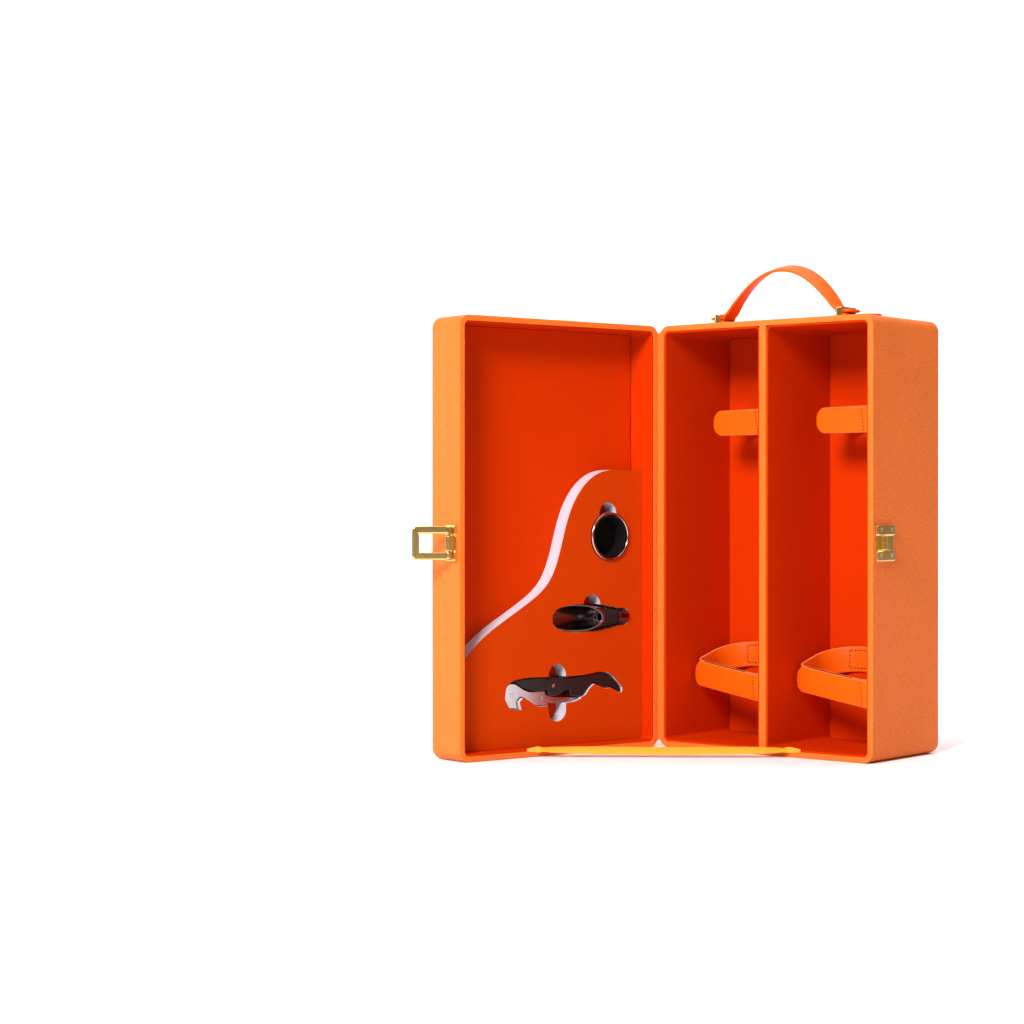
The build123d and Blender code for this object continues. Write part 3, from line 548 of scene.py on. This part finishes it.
class WineCaseColours(bpy.types.PropertyGroup):
    """Colours of the case's materials."""

    outer: colour_setting("Outer leather", (0.84, 0.158, 0.014, 1.0), "Grained leather on the outside")
    lining: colour_setting("Lining", (0.61, 0.031, 0.0002, 1.0), "Smooth lining of the bays and the door")
    straps: colour_setting("Straps", (0.82, 0.112, 0.002, 1.0), "Bottle straps and handle")
    edge: colour_setting("Painted edge", (0.020, 0.005, 0.007, 1.0), "Dark board edge round the door panel")
    ribbon: colour_setting("Ribbon", (1.0, 0.36, 0.006, 1.0), "Satin stay ribbon")
    foam: colour_setting("Foam", (0.60, 0.57, 0.66, 1.0), "Cut edge of the tool insert")
    gold: colour_setting("Gilt metal", (0.95, 0.60, 0.21, 1.0), "Clasp and handle keepers")
    steel: colour_setting("Steel", (0.66, 0.64, 0.66, 1.0), "Drip ring and corkscrew")
    # Painted reflection: the pourer's steel is coloured dark reddish-brown, standing in for the dark
    # surroundings its spout reflects.
    painted_reflection_steel: colour_setting("Dark steel", (0.20, 0.16, 0.155, 1.0), "Pourer")
    grip: colour_setting("Grip", (0.005, 0.004, 0.005, 1.0), "Corkscrew's handle")
    rubber: colour_setting("Rubber", (0.012, 0.009, 0.010, 1.0), "Pourer's ribbed sleeve")
    # The felt colour is the drip ring's own felt lining; on the disc in the ring's pocket the same colour is
    # painted shade.
    felt: colour_setting("Felt", (0.006, 0.004, 0.004, 1.0), "Inside of the drip ring and its pocket")
    sheet: colour_setting("Insert sheet", (0.56, 0.042, 0.001, 1.0), "Leather on the tool insert")
    # Painted highlight: the Cut edge colour is lighter and pinker than the straps and stands in for the
    # light line along the strap edges.
    cut: colour_setting("Cut edge", (0.80, 0.20, 0.07, 1.0), "Edges of the bottle straps")
    sewing: colour_setting("Strap thread", (0.045, 0.008, 0.003, 1.0), "Stitches of the bottle straps")
    tape: colour_setting("Touch tape", (0.018, 0.005, 0.003, 1.0), "Tape between flap and band")
    board: colour_setting("Board", (0.30, 0.26, 0.22, 1.0), "Grey board under the leather")


class WineCaseSizes(bpy.types.PropertyGroup):
    """Sizes of the sewn and padded work."""

    stitch: bpy.props.FloatProperty(
        name="Stitch pitch", description="Distance from one stitch to the next, in millimetres",
        default=3.7, min=2.0, max=6.0)
    seam: bpy.props.FloatProperty(
        name="Seam inset", description="Distance of the seam from the panel's edge, in millimetres",
        default=3.0, min=1.0, max=8.0)
    crown: bpy.props.FloatProperty(
        name="Panel crown", description="Rise of the padding at a panel's middle, in millimetres",
        default=0.5, min=0.0, max=2.0)
    strap_width: bpy.props.FloatProperty(
        name="Bottle strap width", description="Width of the bottle straps, in millimetres",
        default=21.0, min=12.0, max=30.0)
    lens: bpy.props.FloatProperty(
        name="Camera lens", description="Focal length of the camera, in millimetres",
        default=80.21, min=35.0, max=135.0)


def colours():
    return bpy.context.scene.wine_case_colours


def sizes():
    return bpy.context.scene.wine_case_sizes


# Pieces

class WINECASE_OT_stage(bpy.types.Operator):
    """Pale floor, soft studio light and the camera"""

    bl_idname = "wine_case.stage"
    bl_label = "Studio Stage"

    def execute(self, context):
        camera = bpy.data.objects.new("camera", bpy.data.cameras.new("camera"))
        camera.data.lens = sizes().lens
        camera.data.sensor_width = 36.0
        camera.location = CAMERA_PLACE
        camera.rotation_euler = (CAMERA_TILT, 0.0, CAMERA_TURN)
        camera.data.clip_end = 30.0
        context.scene.collection.objects.link(camera)
        context.scene.camera = camera

        self.sweep()
        self.lights(context)
        context.scene.view_settings.view_transform = "Standard"
        return {"FINISHED"}

    def sweep(self):
        """Pale paper that lies flat, bends up behind the case and stands."""
        finish = Finish("floor_paper", Specular_IOR_Level=0.2)
        drift = finish.noise(3.0, 2.0)
        finish.colour(finish.mix(drift, (0.93, 0.93, 0.93, 1), (0.90, 0.90, 0.90, 1)))
        finish.rough(drift * 0.1 + 0.75)
        bend = 1.2
        bend_start = 1.9
        wall = bend_start + bend
        rows = [(-3.5 + k * 0.9, 0.0) for k in range(7)]
        for k in range(1, 13):
            angle = math.radians(90 * k / 12)
            rows.append((bend_start + bend * math.sin(angle), bend - bend * math.cos(angle)))
        rows += [(wall, bend + k * 0.5) for k in range(1, 7)]
        turn = Matrix.Rotation(CAMERA_TURN, 4, "Z")
        columns = (-5.0, -2.5, 0.0, 2.5, 5.0)
        wide = len(columns)
        points = [turn @ Vector((x, y, z)) for y, z in rows for x in columns]
        faces = [(r * wide + c, r * wide + c + 1, r * wide + c + wide + 1, r * wide + c + wide)
                 for r in range(len(rows) - 1) for c in range(wide - 1)]
        return add_mesh("floor_sweep", points, faces, finish.material)

    def lights(self, context):
        """Key from the front, weak fill from the left, a top light and a wash on the paper."""
        warm = (1.0, 0.99, 0.97)
        white = (1.0, 1.0, 1.0)
        middle = (0.0, 0.0, 0.18)
        for name, place, aim, size, power, tint in (
            ("key_softbox", (0.50, -2.36, 1.42), middle, 0.75, 83.0, warm),
            ("fill_softbox", (-2.10, -1.35, 0.80), middle, 1.0, 22.0, warm),
            ("top_softbox", (0.10, -0.10, 2.40), (0.0, 0.0, 0.2), 2.0, 24.0, white),
            ("back_wash", (-0.64, 0.77, 2.60), (-1.80, 2.15, 0.70), 2.6, 60.0, white),
        ):
            lamp = bpy.data.objects.new(name, bpy.data.lights.new(name, "AREA"))
            lamp.data.shape = "SQUARE"
            lamp.data.size = size
            lamp.data.energy = power
            lamp.data.color = tint
            lamp.location = place
            lamp.rotation_euler = (Vector(aim) - Vector(place)).to_track_quat("-Z", "Y").to_euler()
            context.scene.collection.objects.link(lamp)

        world = bpy.data.worlds.new("studio")
        world.use_nodes = True
        back = world.node_tree.nodes["Background"]
        back.inputs["Color"].default_value = (1.0, 1.0, 1.0, 1.0)
        back.inputs["Strength"].default_value = 0.21
        context.scene.world = world


class WINECASE_OT_shells(bpy.types.Operator):
    """Leather over the case's boards, its divider and the boards themselves"""

    bl_idname = "wine_case.shells"
    bl_label = "Leather Shells"

    def execute(self, context):
        outer = grained_leather("outer_leather", colours().outer, depth=0.0006, tone=0.15)
        paint(outer, "case_leather", "door_leather", "base_panel", "door_base_panel", "divider")
        paint(moulded("grey_board", colours().board, 0.9, grain=500.0, depth=0.0002),
              "case_board", "door_board")
        paint(grained_leather("painted_edge", colours().edge, grain=1500.0, depth=0.00005, roughness=0.45),
              "door_face_board")
        return {"FINISHED"}


class WINECASE_OT_linings(bpy.types.Operator):
    """Smooth linings of the two bays and the door, with their padded backs"""

    bl_idname = "wine_case.linings"
    bl_label = "Linings"

    def execute(self, context):
        lining = brushed_lining("lining_leather", colours().lining)
        paint(lining, "bay_lining_left", "bay_lining_right", "door_lining")
        height = 340.7
        corner = 4.4
        for side, x in (("left", -BAY_X), ("right", BAY_X)):
            pad = padded_panel(
                f"back_padding_{side}", lambda u, v, w, x=x: fixed(x - u, 46.5 - w, MID_HEIGHT + v),
                94.7, height, corner, 3.6, lining, roll=2.2, crown=0.35)
            put(pad, "case", "lining_pad", f"back_pad_{side}")
        pad = padded_panel(
            "door_floor_padding", lambda u, v, w: opened(u, -84.3 + w, MID_HEIGHT + v),
            195.9, height, corner, 3.75, lining, roll=2.2, crown=0.22)
        put(pad, "door", "lining_pad", "door_floor_pad")
        return {"FINISHED"}


class WINECASE_OT_door_face(bpy.types.Operator):
    """Padded leather panel sewn on the door's front"""

    bl_idname = "wine_case.door_face"
    bl_label = "Door Face"

    def execute(self, context):
        outer = bpy.data.materials["outer_leather"]
        seam = thread("orange_thread", shade(colours().straps, 0.62))

        width = 195.0
        height = 339.8

        def place(u, v, w):
            return opened(-u, -90.0 - w, MID_HEIGHT + v)

        panel = padded_panel("door_cushion", place, width, height, 6.5, 2.1, outer, roll=1.8,
                             crown=sizes().crown, groove=sizes().seam)
        put(panel, "door", "orange_leather", "door_panel")
        inset = sizes().seam
        seam_outline = rounded_outline(width - 2 * inset, height - 2 * inset, 3.5)
        line = [place(u, v, 2.0) for u, v in seam_outline]
        line.append(line[0])
        out = (place(0, 0, 1) - place(0, 0, 0)).normalized()
        row = stitch_row("door_stitches", line, out, seam, sizes().stitch)
        put(row, "door", "orange_leather")
        return {"FINISHED"}


class WINECASE_OT_insert(bpy.types.Operator):
    """Foam insert of the door with its leather sheet"""

    bl_idname = "wine_case.insert"
    bl_label = "Tool Insert"

    def execute(self, context):
        paint(open_foam("cut_foam", colours().foam), "insert_foam")
        paint(brushed_lining("insert_leather", colours().sheet, roughness=0.66), "insert_sheet")
        return {"FINISHED"}


class WINECASE_OT_tools(bpy.types.Operator):
    """Drip ring, pourer and corkscrew"""

    bl_idname = "wine_case.tools"
    bl_label = "Tools"

    def execute(self, context):
        steel = polished_metal("tool_steel", colours().steel, 0.16, brushed=0.05)
        paint(steel, "ring_shell", "corkscrew_lever", "corkscrew_step", "corkscrew_worm", "corkscrew_rivets")
        # Painted reflection: darker, reddish steel on the pourer stands in for the dark surroundings it
        # reflects.
        paint(polished_metal("pourer_steel_painted_reflection", colours().painted_reflection_steel, 0.18, brushed=0.06),
              "pourer_spout", "pourer_tail")
        paint(moulded("glossy_grip", colours().grip, 0.34, coat=0.12), "corkscrew_handle")
        paint(moulded("ribbed_rubber", colours().rubber, 0.5), "pourer_sleeve")
        felt = felted("ring_felt_fibres", colours().felt)
        put(self.lining(felt), "drip_ring", "felt", "ring_felt")
        # Painted shade: a black disc in the felt's colour on the pocket floor darkens the deep shade inside
        # the ring.
        put(self.patch(felt), "door", "felt")
        return {"FINISHED"}

    def lining(self, felt):
        """Felt inside the drip ring, with rolled edges and a slightly wavy face."""
        around = 96
        outer = 17.95
        section = ((0.9, outer), (0.9, 16.1), (1.6, 15.75), (5.0, 15.65), (10.0, 15.7), (13.6, 15.75),
                   (14.5, 16.1), (14.5, outer))
        count = len(section)
        points = []
        faces = []
        for k in range(around):
            angle = math.tau * k / around
            for rise, radius in section:
                if radius < outer:
                    radius += 0.06 * math.sin(11 * angle + rise)
                points.append(opened(RING_X + radius * math.cos(angle), rise - 80.0,
                                     RING_Z + radius * math.sin(angle)))
        for k in range(around):
            n = (k + 1) % around
            for j in range(count):
                m = (j + 1) % count
                faces.append((k * count + j, k * count + m, n * count + m, n * count + j))
        return add_mesh("felt_lining", points, faces, felt)

    def patch(self, felt):
        """Painted shade: round black disc in the felt's colour on the floor of the drip ring's pocket,
        standing in for the deep shade inside the ring.
        """
        around = 72
        radius = 19.6
        points = []
        for depth in (-80.22, -80.28):
            for k in range(around):
                angle = math.tau * k / around
                points.append(opened(RING_X + radius * math.cos(angle), depth,
                                     RING_Z + radius * math.sin(angle)))
        faces = [tuple(range(around)), tuple(range(2 * around - 1, around - 1, -1))]
        faces += [(k, (k + 1) % around, around + (k + 1) % around, around + k) for k in range(around)]
        return add_mesh("ring_pocket_painted_shade", points, faces, felt, smooth=False)


def arch_line(count=110):
    """Centreline of the handle's arch with the outward direction and that of its width at each point."""
    half = 53.7
    rise = 38.0
    points = [fixed(x, HANDLE_Y, z) for x, z in ((67.0, HANDLE_Z), (61.0, HANDLE_Z), (55.6, 356.0))]
    for k in range(41):
        x = 50.5 - 101.0 * k / 40
        points.append(fixed(x, HANDLE_Y, HANDLE_Z + rise * (1 - abs(x / half) ** 2.1)))
    points += [fixed(x, HANDLE_Y, z) for x, z in ((-55.6, 356.0), (-61.0, HANDLE_Z), (-67.0, HANDLE_Z))]
    line = smooth_line(points, count)
    most_roll = math.radians(16.0)
    outs = []
    widths = []
    for i, spot in enumerate(line):
        along = (line[min(i + 1, count - 1)] - line[max(i - 1, 0)]).normalized()
        out = along.cross(Vector((0, 1, 0)))
        if out.z < 0:
            out = -out
        roll = most_roll * max(0.0, 1 - (abs(spot.x) / 0.052) ** 4)
        width = Vector((0, 1, 0)) * math.cos(roll) + out * math.sin(roll)
        widths.append(width)
        outs.append((out - width * out.dot(width)).normalized())
    return line, outs, widths


class WINECASE_OT_handle(bpy.types.Operator):
    """Carrying strap, the tabs that hold it and their gilt keepers"""

    bl_idname = "wine_case.handle"
    bl_label = "Handle"

    def execute(self, context):
        gold = polished_metal("gilt_metal", colours().gold, 0.13, brushed=0.04, rounding=0.0008)
        leather = grained_leather("soft_leather", colours().straps, grain=1500.0, depth=0.00009,
                                  roughness=0.42, tone=0.07, gloss=0.14)
        seam = bpy.data.materials["orange_thread"]
        paint(gold, "keeper_left", "keeper_right")
        line, outs, widths = arch_line()
        self.arch(line, widths, leather)
        for edge, name in ((-1, "near"), (1, "far")):
            self.arch_seam(f"handle_seam_{name}", edge, line, outs, widths, seam)
        for side, sign in (("left", -1), ("right", 1)):
            self.end(side, sign, leather)
            self.tab(side, sign, leather, seam)
        return {"FINISHED"}

    def arch(self, line, widths, leather):
        """Strap between the keepers, thinner where it passes through them."""
        arch = strap("handle_arch", line, widths, 17.3 * MM, 2.3 * MM, leather)
        in_keeper = 54.5 * MM
        for vertex in arch.data.vertices:
            if abs(vertex.co.x) > in_keeper:
                vertex.co.z = HANDLE_Z * MM + (vertex.co.z - HANDLE_Z * MM) * 0.5
                vertex.co.y = HANDLE_Y * MM + (vertex.co.y - HANDLE_Y * MM) * 0.94
        put(arch, "case", "strap_leather", "handle_strap")
        self.flatten(arch)

    def arch_seam(self, name, edge, line, outs, widths, seam):
        """Row of stitches along one edge of the arch."""
        rows = []
        normals = []
        for spot, out, width in zip(line, outs, widths):
            if abs(spot.x) < 53.0 * MM:
                rows.append(spot + width * (edge * 6.6 * MM) + out * (1.12 * MM))
                normals.append(out)
        row = stitch_row(name, rows, normals, seam, 2.9, thick=0.24, sink=0.2)
        put(row, "case", "strap_leather")
        self.flatten(row)

    def flatten(self, piece):
        """Gives the piece its own mesh."""
        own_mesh(piece)

    def end(self, side, sign, leather):
        """End of the strap, which slides in its keeper."""
        line = smooth_line([fixed(sign * x, HANDLE_Y, HANDLE_Z) for x in (54.0, 58.0, 62.0, 67.35)], 26)
        end = strap(f"handle_tongue_{side}", line, Vector((0, 1, 0)), 17.5 * MM, 2.4 * MM, leather,
                    corners=(0.0, 4.0 * MM))
        put(end, f"handle_end_{side}", "strap_leather", f"handle_end_{side}")

    def tab(self, side, sign, leather, seam):
        """Leather tab that rises over the keeper's bar and lies sewn on the case's top."""
        rise = ((51.2, 351.2), (53.4, 351.5), (55.6, 352.9), (58.5, 353.15), (61.4, 352.9), (63.6, 351.7))
        flat = ((66.0, 351.2), (72.0, 351.2), (80.0, 351.2), (89.8, 351.2))
        line = smooth_line([fixed(sign * x, HANDLE_Y, z) for x, z in rise + flat], 60)
        tab = strap(f"keeper_tab_{side}", line, Vector((0, 1, 0)), 18.0 * MM, 2.3 * MM, leather,
                    corners=(0.0, 8.8 * MM))
        put(tab, "case", "strap_leather", f"handle_tab_{side}")
        start = 66.5
        centre = 80.5
        reach = 6.3
        outline = [(start, -reach), (centre, -reach)]
        for angle in range(15, 180, 15):
            turn = math.radians(angle)
            outline.append((centre + reach * math.sin(turn), -reach * math.cos(turn)))
        outline += [(centre, reach), (start, reach), (start, -reach)]
        row = stitch_row(f"tab_stitches_{side}",
                         [fixed(sign * x, HANDLE_Y + y, 352.37) for x, y in outline],
                         UP, seam, 2.6, thick=0.28)
        put(row, "case", "strap_leather")


class WINECASE_OT_clasp(bpy.types.Operator):
    """Gilt clasp: loop and base on the door, catch on the body"""

    bl_idname = "wine_case.clasp"
    bl_label = "Clasp"

    def execute(self, context):
        paint(bpy.data.materials["gilt_metal"], "latch_plate", "latch_loop", "catch_plate", "catch_hook")
        paint(polished_metal("gilt_nails", shade(colours().gold, 0.8), 0.3), "latch_nails", "catch_nails")
        return {"FINISHED"}


def loop_plan(corners, count):
    """Even points of a closed plan line with rounded corners, in millimetres."""
    line = []
    total = len(corners)
    for i, (corner, radius) in enumerate(corners):
        here = Vector((*corner, 0.0))
        before = (Vector((*corners[i - 1][0], 0.0)) - here).normalized()
        after = (Vector((*corners[(i + 1) % total][0], 0.0)) - here).normalized()
        half = before.angle(after) / 2
        reach = radius / math.tan(half)
        centre = here + (before + after).normalized() * (radius / math.sin(half))
        start = here + before * reach - centre
        end = here + after * reach - centre
        sweep = start.angle(end)
        for k in range(13):
            t = k / 12
            spoke = start * math.sin((1 - t) * sweep) + end * math.sin(t * sweep)
            line.append(centre + spoke / math.sin(sweep))
    line.append(line[0].copy())
    return even_line(line, count + 1)[:-1]


class Run:
    """Straight front of a bottle strap. A place on it is a distance along it and a height off it."""

    def __init__(self, root, along, out, climb=0.0):
        self.root = root
        self.along = along + UP * climb
        self.out = out

    def at(self, distance, height):
        return self.root + self.along * (distance * MM) + self.out * (height * MM)


class WINECASE_OT_bottle_straps(bpy.types.Operator):
    """Bottle straps: bands sewn to the back of each bay, flaps and their touch tape"""

    bl_idname = "wine_case.bottle_straps"
    bl_label = "Bottle Straps"

    def execute(self, context):
        # Bottle strap leather with the painted highlight on its edges.
        self.leather = grained_leather("strap_leather_painted_edge_highlight", colours().straps, grain=1500.0, depth=0.00009,
                                       roughness=0.42, tone=0.07, gloss=0.14, cut=colours().cut)
        self.seam = thread("brown_thread", colours().sewing)
        self.tape = felted("touch_tape_fibres", colours().tape)
        self.width = sizes().strap_width
        for side, middle in (("left", -BAY_X), ("right", BAY_X)):
            self.lower(side, middle)
            self.upper(side, middle)
        return {"FINISHED"}

    def lower(self, side, middle):
        """Strap round a bottle's body. Its front runs slantwise and climbs towards the flap's tip."""
        top = 87.0
        slope = 0.27
        reach = 42.375
        front = -38.0
        corners = (((middle - reach, 41.3), 26.0), ((middle - reach, -8.0), 9.0),
                   ((middle + reach + 0.25, front), 9.0), ((middle + reach + 0.25, 41.3), 26.0))
        self.band("lower", side, middle, corners, top, slope, half=24.0, flat=16.375)
        root = fixed(middle + reach + 0.25, front, top - slope * 89.0 - self.width / 2)
        run = Run(root, Vector((-0.94299, 0.33282, 0.0)), Vector((-0.33282, -0.94299, 0.0)), 0.0899)
        across = UP + Vector((-0.94299, 0.33282, 0.0)) * -0.06
        self.stitch_seam("lower", side, run, 7.6)
        self.flap("lower", side, run, across, sewn=-1.55, bend=13.0, tip=87.5, counts=(24, 60))
        self.tapes("lower", side, run, 23.0, 79.0)

    def upper(self, side, middle):
        """Strap round a bottle's neck, with a level front."""
        top = 284.0
        slope = 0.07
        reach = 23.0
        front = -4.7
        corners = (((middle - reach, 41.3), 20.0), ((middle - reach, front), 20.0),
                   ((middle + reach, front), 20.0), ((middle + reach, 41.3), 20.0))
        self.band("upper", side, middle, corners, top, slope, half=6.0, flat=3.0)
        root = fixed(middle + 13.0, front, top - slope * 55.7 - self.width / 2)
        run = Run(root, Vector((-1, 0, 0)), Vector((0, -1, 0)))
        self.stitch_seam("upper", side, run, -3.0)
        self.flap("upper", side, run, UP, sewn=-13.25, bend=0.0, tip=38.5, counts=(20, 40))
        self.tapes("upper", side, run, 10.2, 15.8)

    def band(self, name, side, middle, corners, top, slope, half, flat):
        """Closed band that slopes down to the front, and the stitched patch that holds its back."""
        centre = top - self.width / 2
        line = [fixed(p.x, p.y, centre - slope * (51.0 - p.y)) for p in loop_plan(corners, 150)]
        band = strap(f"{name}_strap_{side}", line, UP, self.width * MM, 2.4 * MM, self.leather, closed=True)
        put(band, "case", "strap_leather", f"{name}_band_{side}")
        (_, back), radius = corners[0]
        level = centre - slope * (51.0 - back)
        outline = [(-half + 2 * half * k / 24, -7.3) for k in range(25)]
        outline += [(half - 2 * half * k / 24, 7.3) for k in range(25)] + [(-half, -7.3)]
        patch = []
        for u, v in outline:
            past = max(abs(u) - flat, 0.0)
            depth = back - radius + math.sqrt((radius - 1.22) ** 2 - past ** 2)
            patch.append(fixed(middle + u, depth, level + v))
        row = stitch_row(f"{name}_patch_{side}", patch, Vector((0, -1, 0)), self.seam, 3.0, thick=0.5)
        put(row, "case", "strap_leather")

    def stitch_seam(self, name, side, run, start):
        """Slanted row of stitches that holds the flap's fixed end to the band."""
        high = (self.width / 2 - 1.2) * MM
        row = [run.at(start - 2.8 * k / 12, FLAP_HEIGHT + 1.02) + UP * (high * (1 - k / 6))
               for k in range(13)]
        piece = stitch_row(f"{name}_seam_{side}", row, run.out, self.seam, 2.6, thick=0.5)
        put(piece, "case", "strap_leather")

    def flap(self, name, side, run, across, sewn, bend, tip, counts):
        """Flap from its sewn end, which sinks to the band, past the seam, to its tip."""
        body = f"{name}_flap_{side}"
        sewn_count, free_count = counts
        level = (sewn_count - 2) // 2
        line = []
        for k in range(sewn_count):
            distance = sewn + (bend - 0.25 - sewn) * k / (sewn_count - 1)
            sink = 1.9 * max(0.0, (level - k) / level) ** 1.5
            line.append(run.at(distance, FLAP_HEIGHT - sink))
        for k in range(free_count):
            share = k / (free_count - 1)
            bow = 0.5 * math.sin(math.pi * share)
            line.append(run.at(bend + (tip - bend) * share, FLAP_HEIGHT + bow))
        flap = strap(f"{name}_tongue_{side}", closer_at_end(line, 8.0 * MM), across, self.width * MM,
                     2.0 * MM, self.leather, corners=(0.0, 8.0 * MM))
        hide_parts(body)
        start = run.at(bend - 2.4, FLAP_HEIGHT)
        end = run.at(bend + 2.4, FLAP_HEIGHT)
        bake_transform(flap)

    def tapes(self, name, side, run, first, last):
        """Touch tape: loops on the band and hooks on the flap."""
        for kind, owner in (("loop", "case"), ("hook", f"{name}_flap_{side}")):
            strip = [run.at(first + (last - first) * k / 13, TAPE_GAP[kind]) for k in range(14)]
            piece = strap(f"{name}_{kind}_tape_{side}", strip, UP, 20.9 * MM, 0.9 * MM, self.tape)
            put(piece, owner, "touch_tape", f"{name}_{kind}_{side}")


class WINECASE_OT_hinge(bpy.types.Operator):
    """Leather hinge strips, outside over the walls and inside over the rims"""

    bl_idname = "wine_case.hinge"
    bl_label = "Leather Hinge"

    def execute(self, context):
        outer = bpy.data.materials["outer_leather"]
        for name, node, low, high, section in (
            ("hinge_cover", "hinge_leather", 10.0, 340.0, self.outer_section()),
            ("hinge_strip", "hinge_lining", 5.5, 344.5, self.inner_section()),
        ):
            points = []
            faces = []
            rows = 24
            count = len(section)
            for r in range(rows + 1):
                z = low + (high - low) * r / rows
                points += [Vector((x, y, z * MM)) for x, y in section]
            for r in range(rows):
                for k in range(count):
                    m = (k + 1) % count
                    faces.append((r * count + k, r * count + m, (r + 1) * count + m, (r + 1) * count + k))
            faces.append(tuple(range(count - 1, -1, -1)))
            faces.append(tuple(rows * count + k for k in range(count)))
            piece = add_mesh(name, points, faces, outer, smooth=False)
            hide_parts(node)
            if node == "hinge_leather":
                start = fixed(HINGE_X, HINGE_Y + 3.5, 0)
                end = opened(HINGE_X, HINGE_Y - 3.5, 0)
            else:
                start = fixed(HINGE_X + 1.2, HINGE_Y, 0)
                end = opened(HINGE_X + 1.2, HINGE_Y, 0)
            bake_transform(piece)
        return {"FINISHED"}

    def outer_section(self):
        thick = 0.8
        leg = 12.5
        fold = thick / math.tan(math.radians(77.5) / 2)
        body = [(0.0, y) for y in (0.5, 1.5, 3.5, 7.0, leg)]
        body += [(-thick, y) for y in (leg, 7.0, 3.5, fold + 0.4)]
        door = [(-thick, -y) for y in (fold + 0.4, 3.5, 7.0, leg)]
        door += [(0.0, -y) for y in (leg, 7.0, 3.5, 1.5, 0.5)]
        section = [fixed(HINGE_X + x, HINGE_Y + y, 0).xy for x, y in body]
        section += [opened(HINGE_X + x, HINGE_Y + y, 0).xy for x, y in door]
        return section

    def inner_section(self):
        near = 0.1
        far = 0.5
        body = [(x, far) for x in (4.8, 2.5, 0.6)]
        door = [(x, -far) for x in (0.6, 2.5, 4.8)]
        back = [(x, -near) for x in (4.8, 2.5, 0.8)]
        home = [(x, near) for x in (0.8, 2.5, 4.8)]
        section = [fixed(HINGE_X + x, HINGE_Y + y, 0).xy for x, y in body]
        section += [opened(HINGE_X + x, HINGE_Y + y, 0).xy for x, y in door + back]
        section += [fixed(HINGE_X + x, HINGE_Y + y, 0).xy for x, y in home]
        return section


class WINECASE_OT_stay(bpy.types.Operator):
    """Satin ribbon that stops the door"""

    bl_idname = "wine_case.stay"
    bl_label = "Stay Ribbon"

    def execute(self, context):
        satin = woven_ribbon("satin_ribbon", colours().ribbon)
        off_rim = 0.325
        first = fixed(RIBBON_X, HINGE_Y + off_rim, RIBBON_Z)
        last = opened(RIBBON_X, HINGE_Y - off_rim, RIBBON_Z)
        sewn = RIBBON_X + 9.0
        line = [fixed(sewn, HINGE_Y + off_rim, RIBBON_Z), first]
        rolls = [0.0, 0.0]
        steps = 150
        for k in range(1, steps):
            t = k / steps
            sag = Vector((0, 0, -0.9 * MM * math.sin(math.pi * t)))
            line.append(first.lerp(last, t) + sag)
            near = min(t, 1 - t)
            ease = min(1.0, near / 0.03)
            turn = 46.0 + 20.0 * math.exp(-(near / 0.14) ** 2)
            rolls.append(math.radians(turn) * ease * ease * (3 - 2 * ease))
        line += [last, opened(sewn, HINGE_Y - off_rim, RIBBON_Z)]
        rolls += [0.0, 0.0]
        chord = (last - first).normalized()
        across = [Matrix.Rotation(roll, 4, chord) @ UP for roll in rolls]
        ribbon = strap("ribbon_strip", line, across, 7.9 * MM, 0.34 * MM, satin, taper=22.0 * MM)
        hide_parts("stay_ribbon")
        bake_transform(ribbon)
        return {"FINISHED"}


class WINECASE_PT_panel(bpy.types.Panel):
    """Buttons for each piece of the case"""

    bl_idname = "WINECASE_PT_panel"
    bl_label = "Wine Case"
    bl_space_type = "VIEW_3D"
    bl_region_type = "UI"
    bl_category = "Wine Case"

    def draw(self, context):
        for operator in OPERATORS:
            self.layout.operator(operator.bl_idname)
        for group in (context.scene.wine_case_sizes, context.scene.wine_case_colours):
            for name in group.__annotations__:
                self.layout.prop(group, name)


OPERATORS = (
    WINECASE_OT_stage,
    WINECASE_OT_shells,
    WINECASE_OT_linings,
    WINECASE_OT_door_face,
    WINECASE_OT_insert,
    WINECASE_OT_tools,
    WINECASE_OT_handle,
    WINECASE_OT_clasp,
    WINECASE_OT_bottle_straps,
    WINECASE_OT_hinge,
    WINECASE_OT_stay,
)
CLASSES = (WineCaseColours, WineCaseSizes, *OPERATORS, WINECASE_PT_panel)


def register():
    for item in CLASSES:
        bpy.utils.register_class(item)
    bpy.types.Scene.wine_case_colours = bpy.props.PointerProperty(type=WineCaseColours)
    bpy.types.Scene.wine_case_sizes = bpy.props.PointerProperty(type=WineCaseSizes)


def unregister():
    del bpy.types.Scene.wine_case_sizes
    del bpy.types.Scene.wine_case_colours
    for item in reversed(CLASSES):
        bpy.utils.unregister_class(item)


def main():
    register()
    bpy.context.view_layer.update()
    bpy.ops.wine_case.stage()
    bpy.ops.wine_case.shells()
    bpy.ops.wine_case.linings()
    bpy.ops.wine_case.door_face()
    bpy.ops.wine_case.insert()
    bpy.ops.wine_case.tools()
    bpy.ops.wine_case.handle()
    bpy.ops.wine_case.clasp()
    bpy.ops.wine_case.bottle_straps()
    bpy.ops.wine_case.hinge()
    bpy.ops.wine_case.stay()


if __name__ == "__main__":
    main()
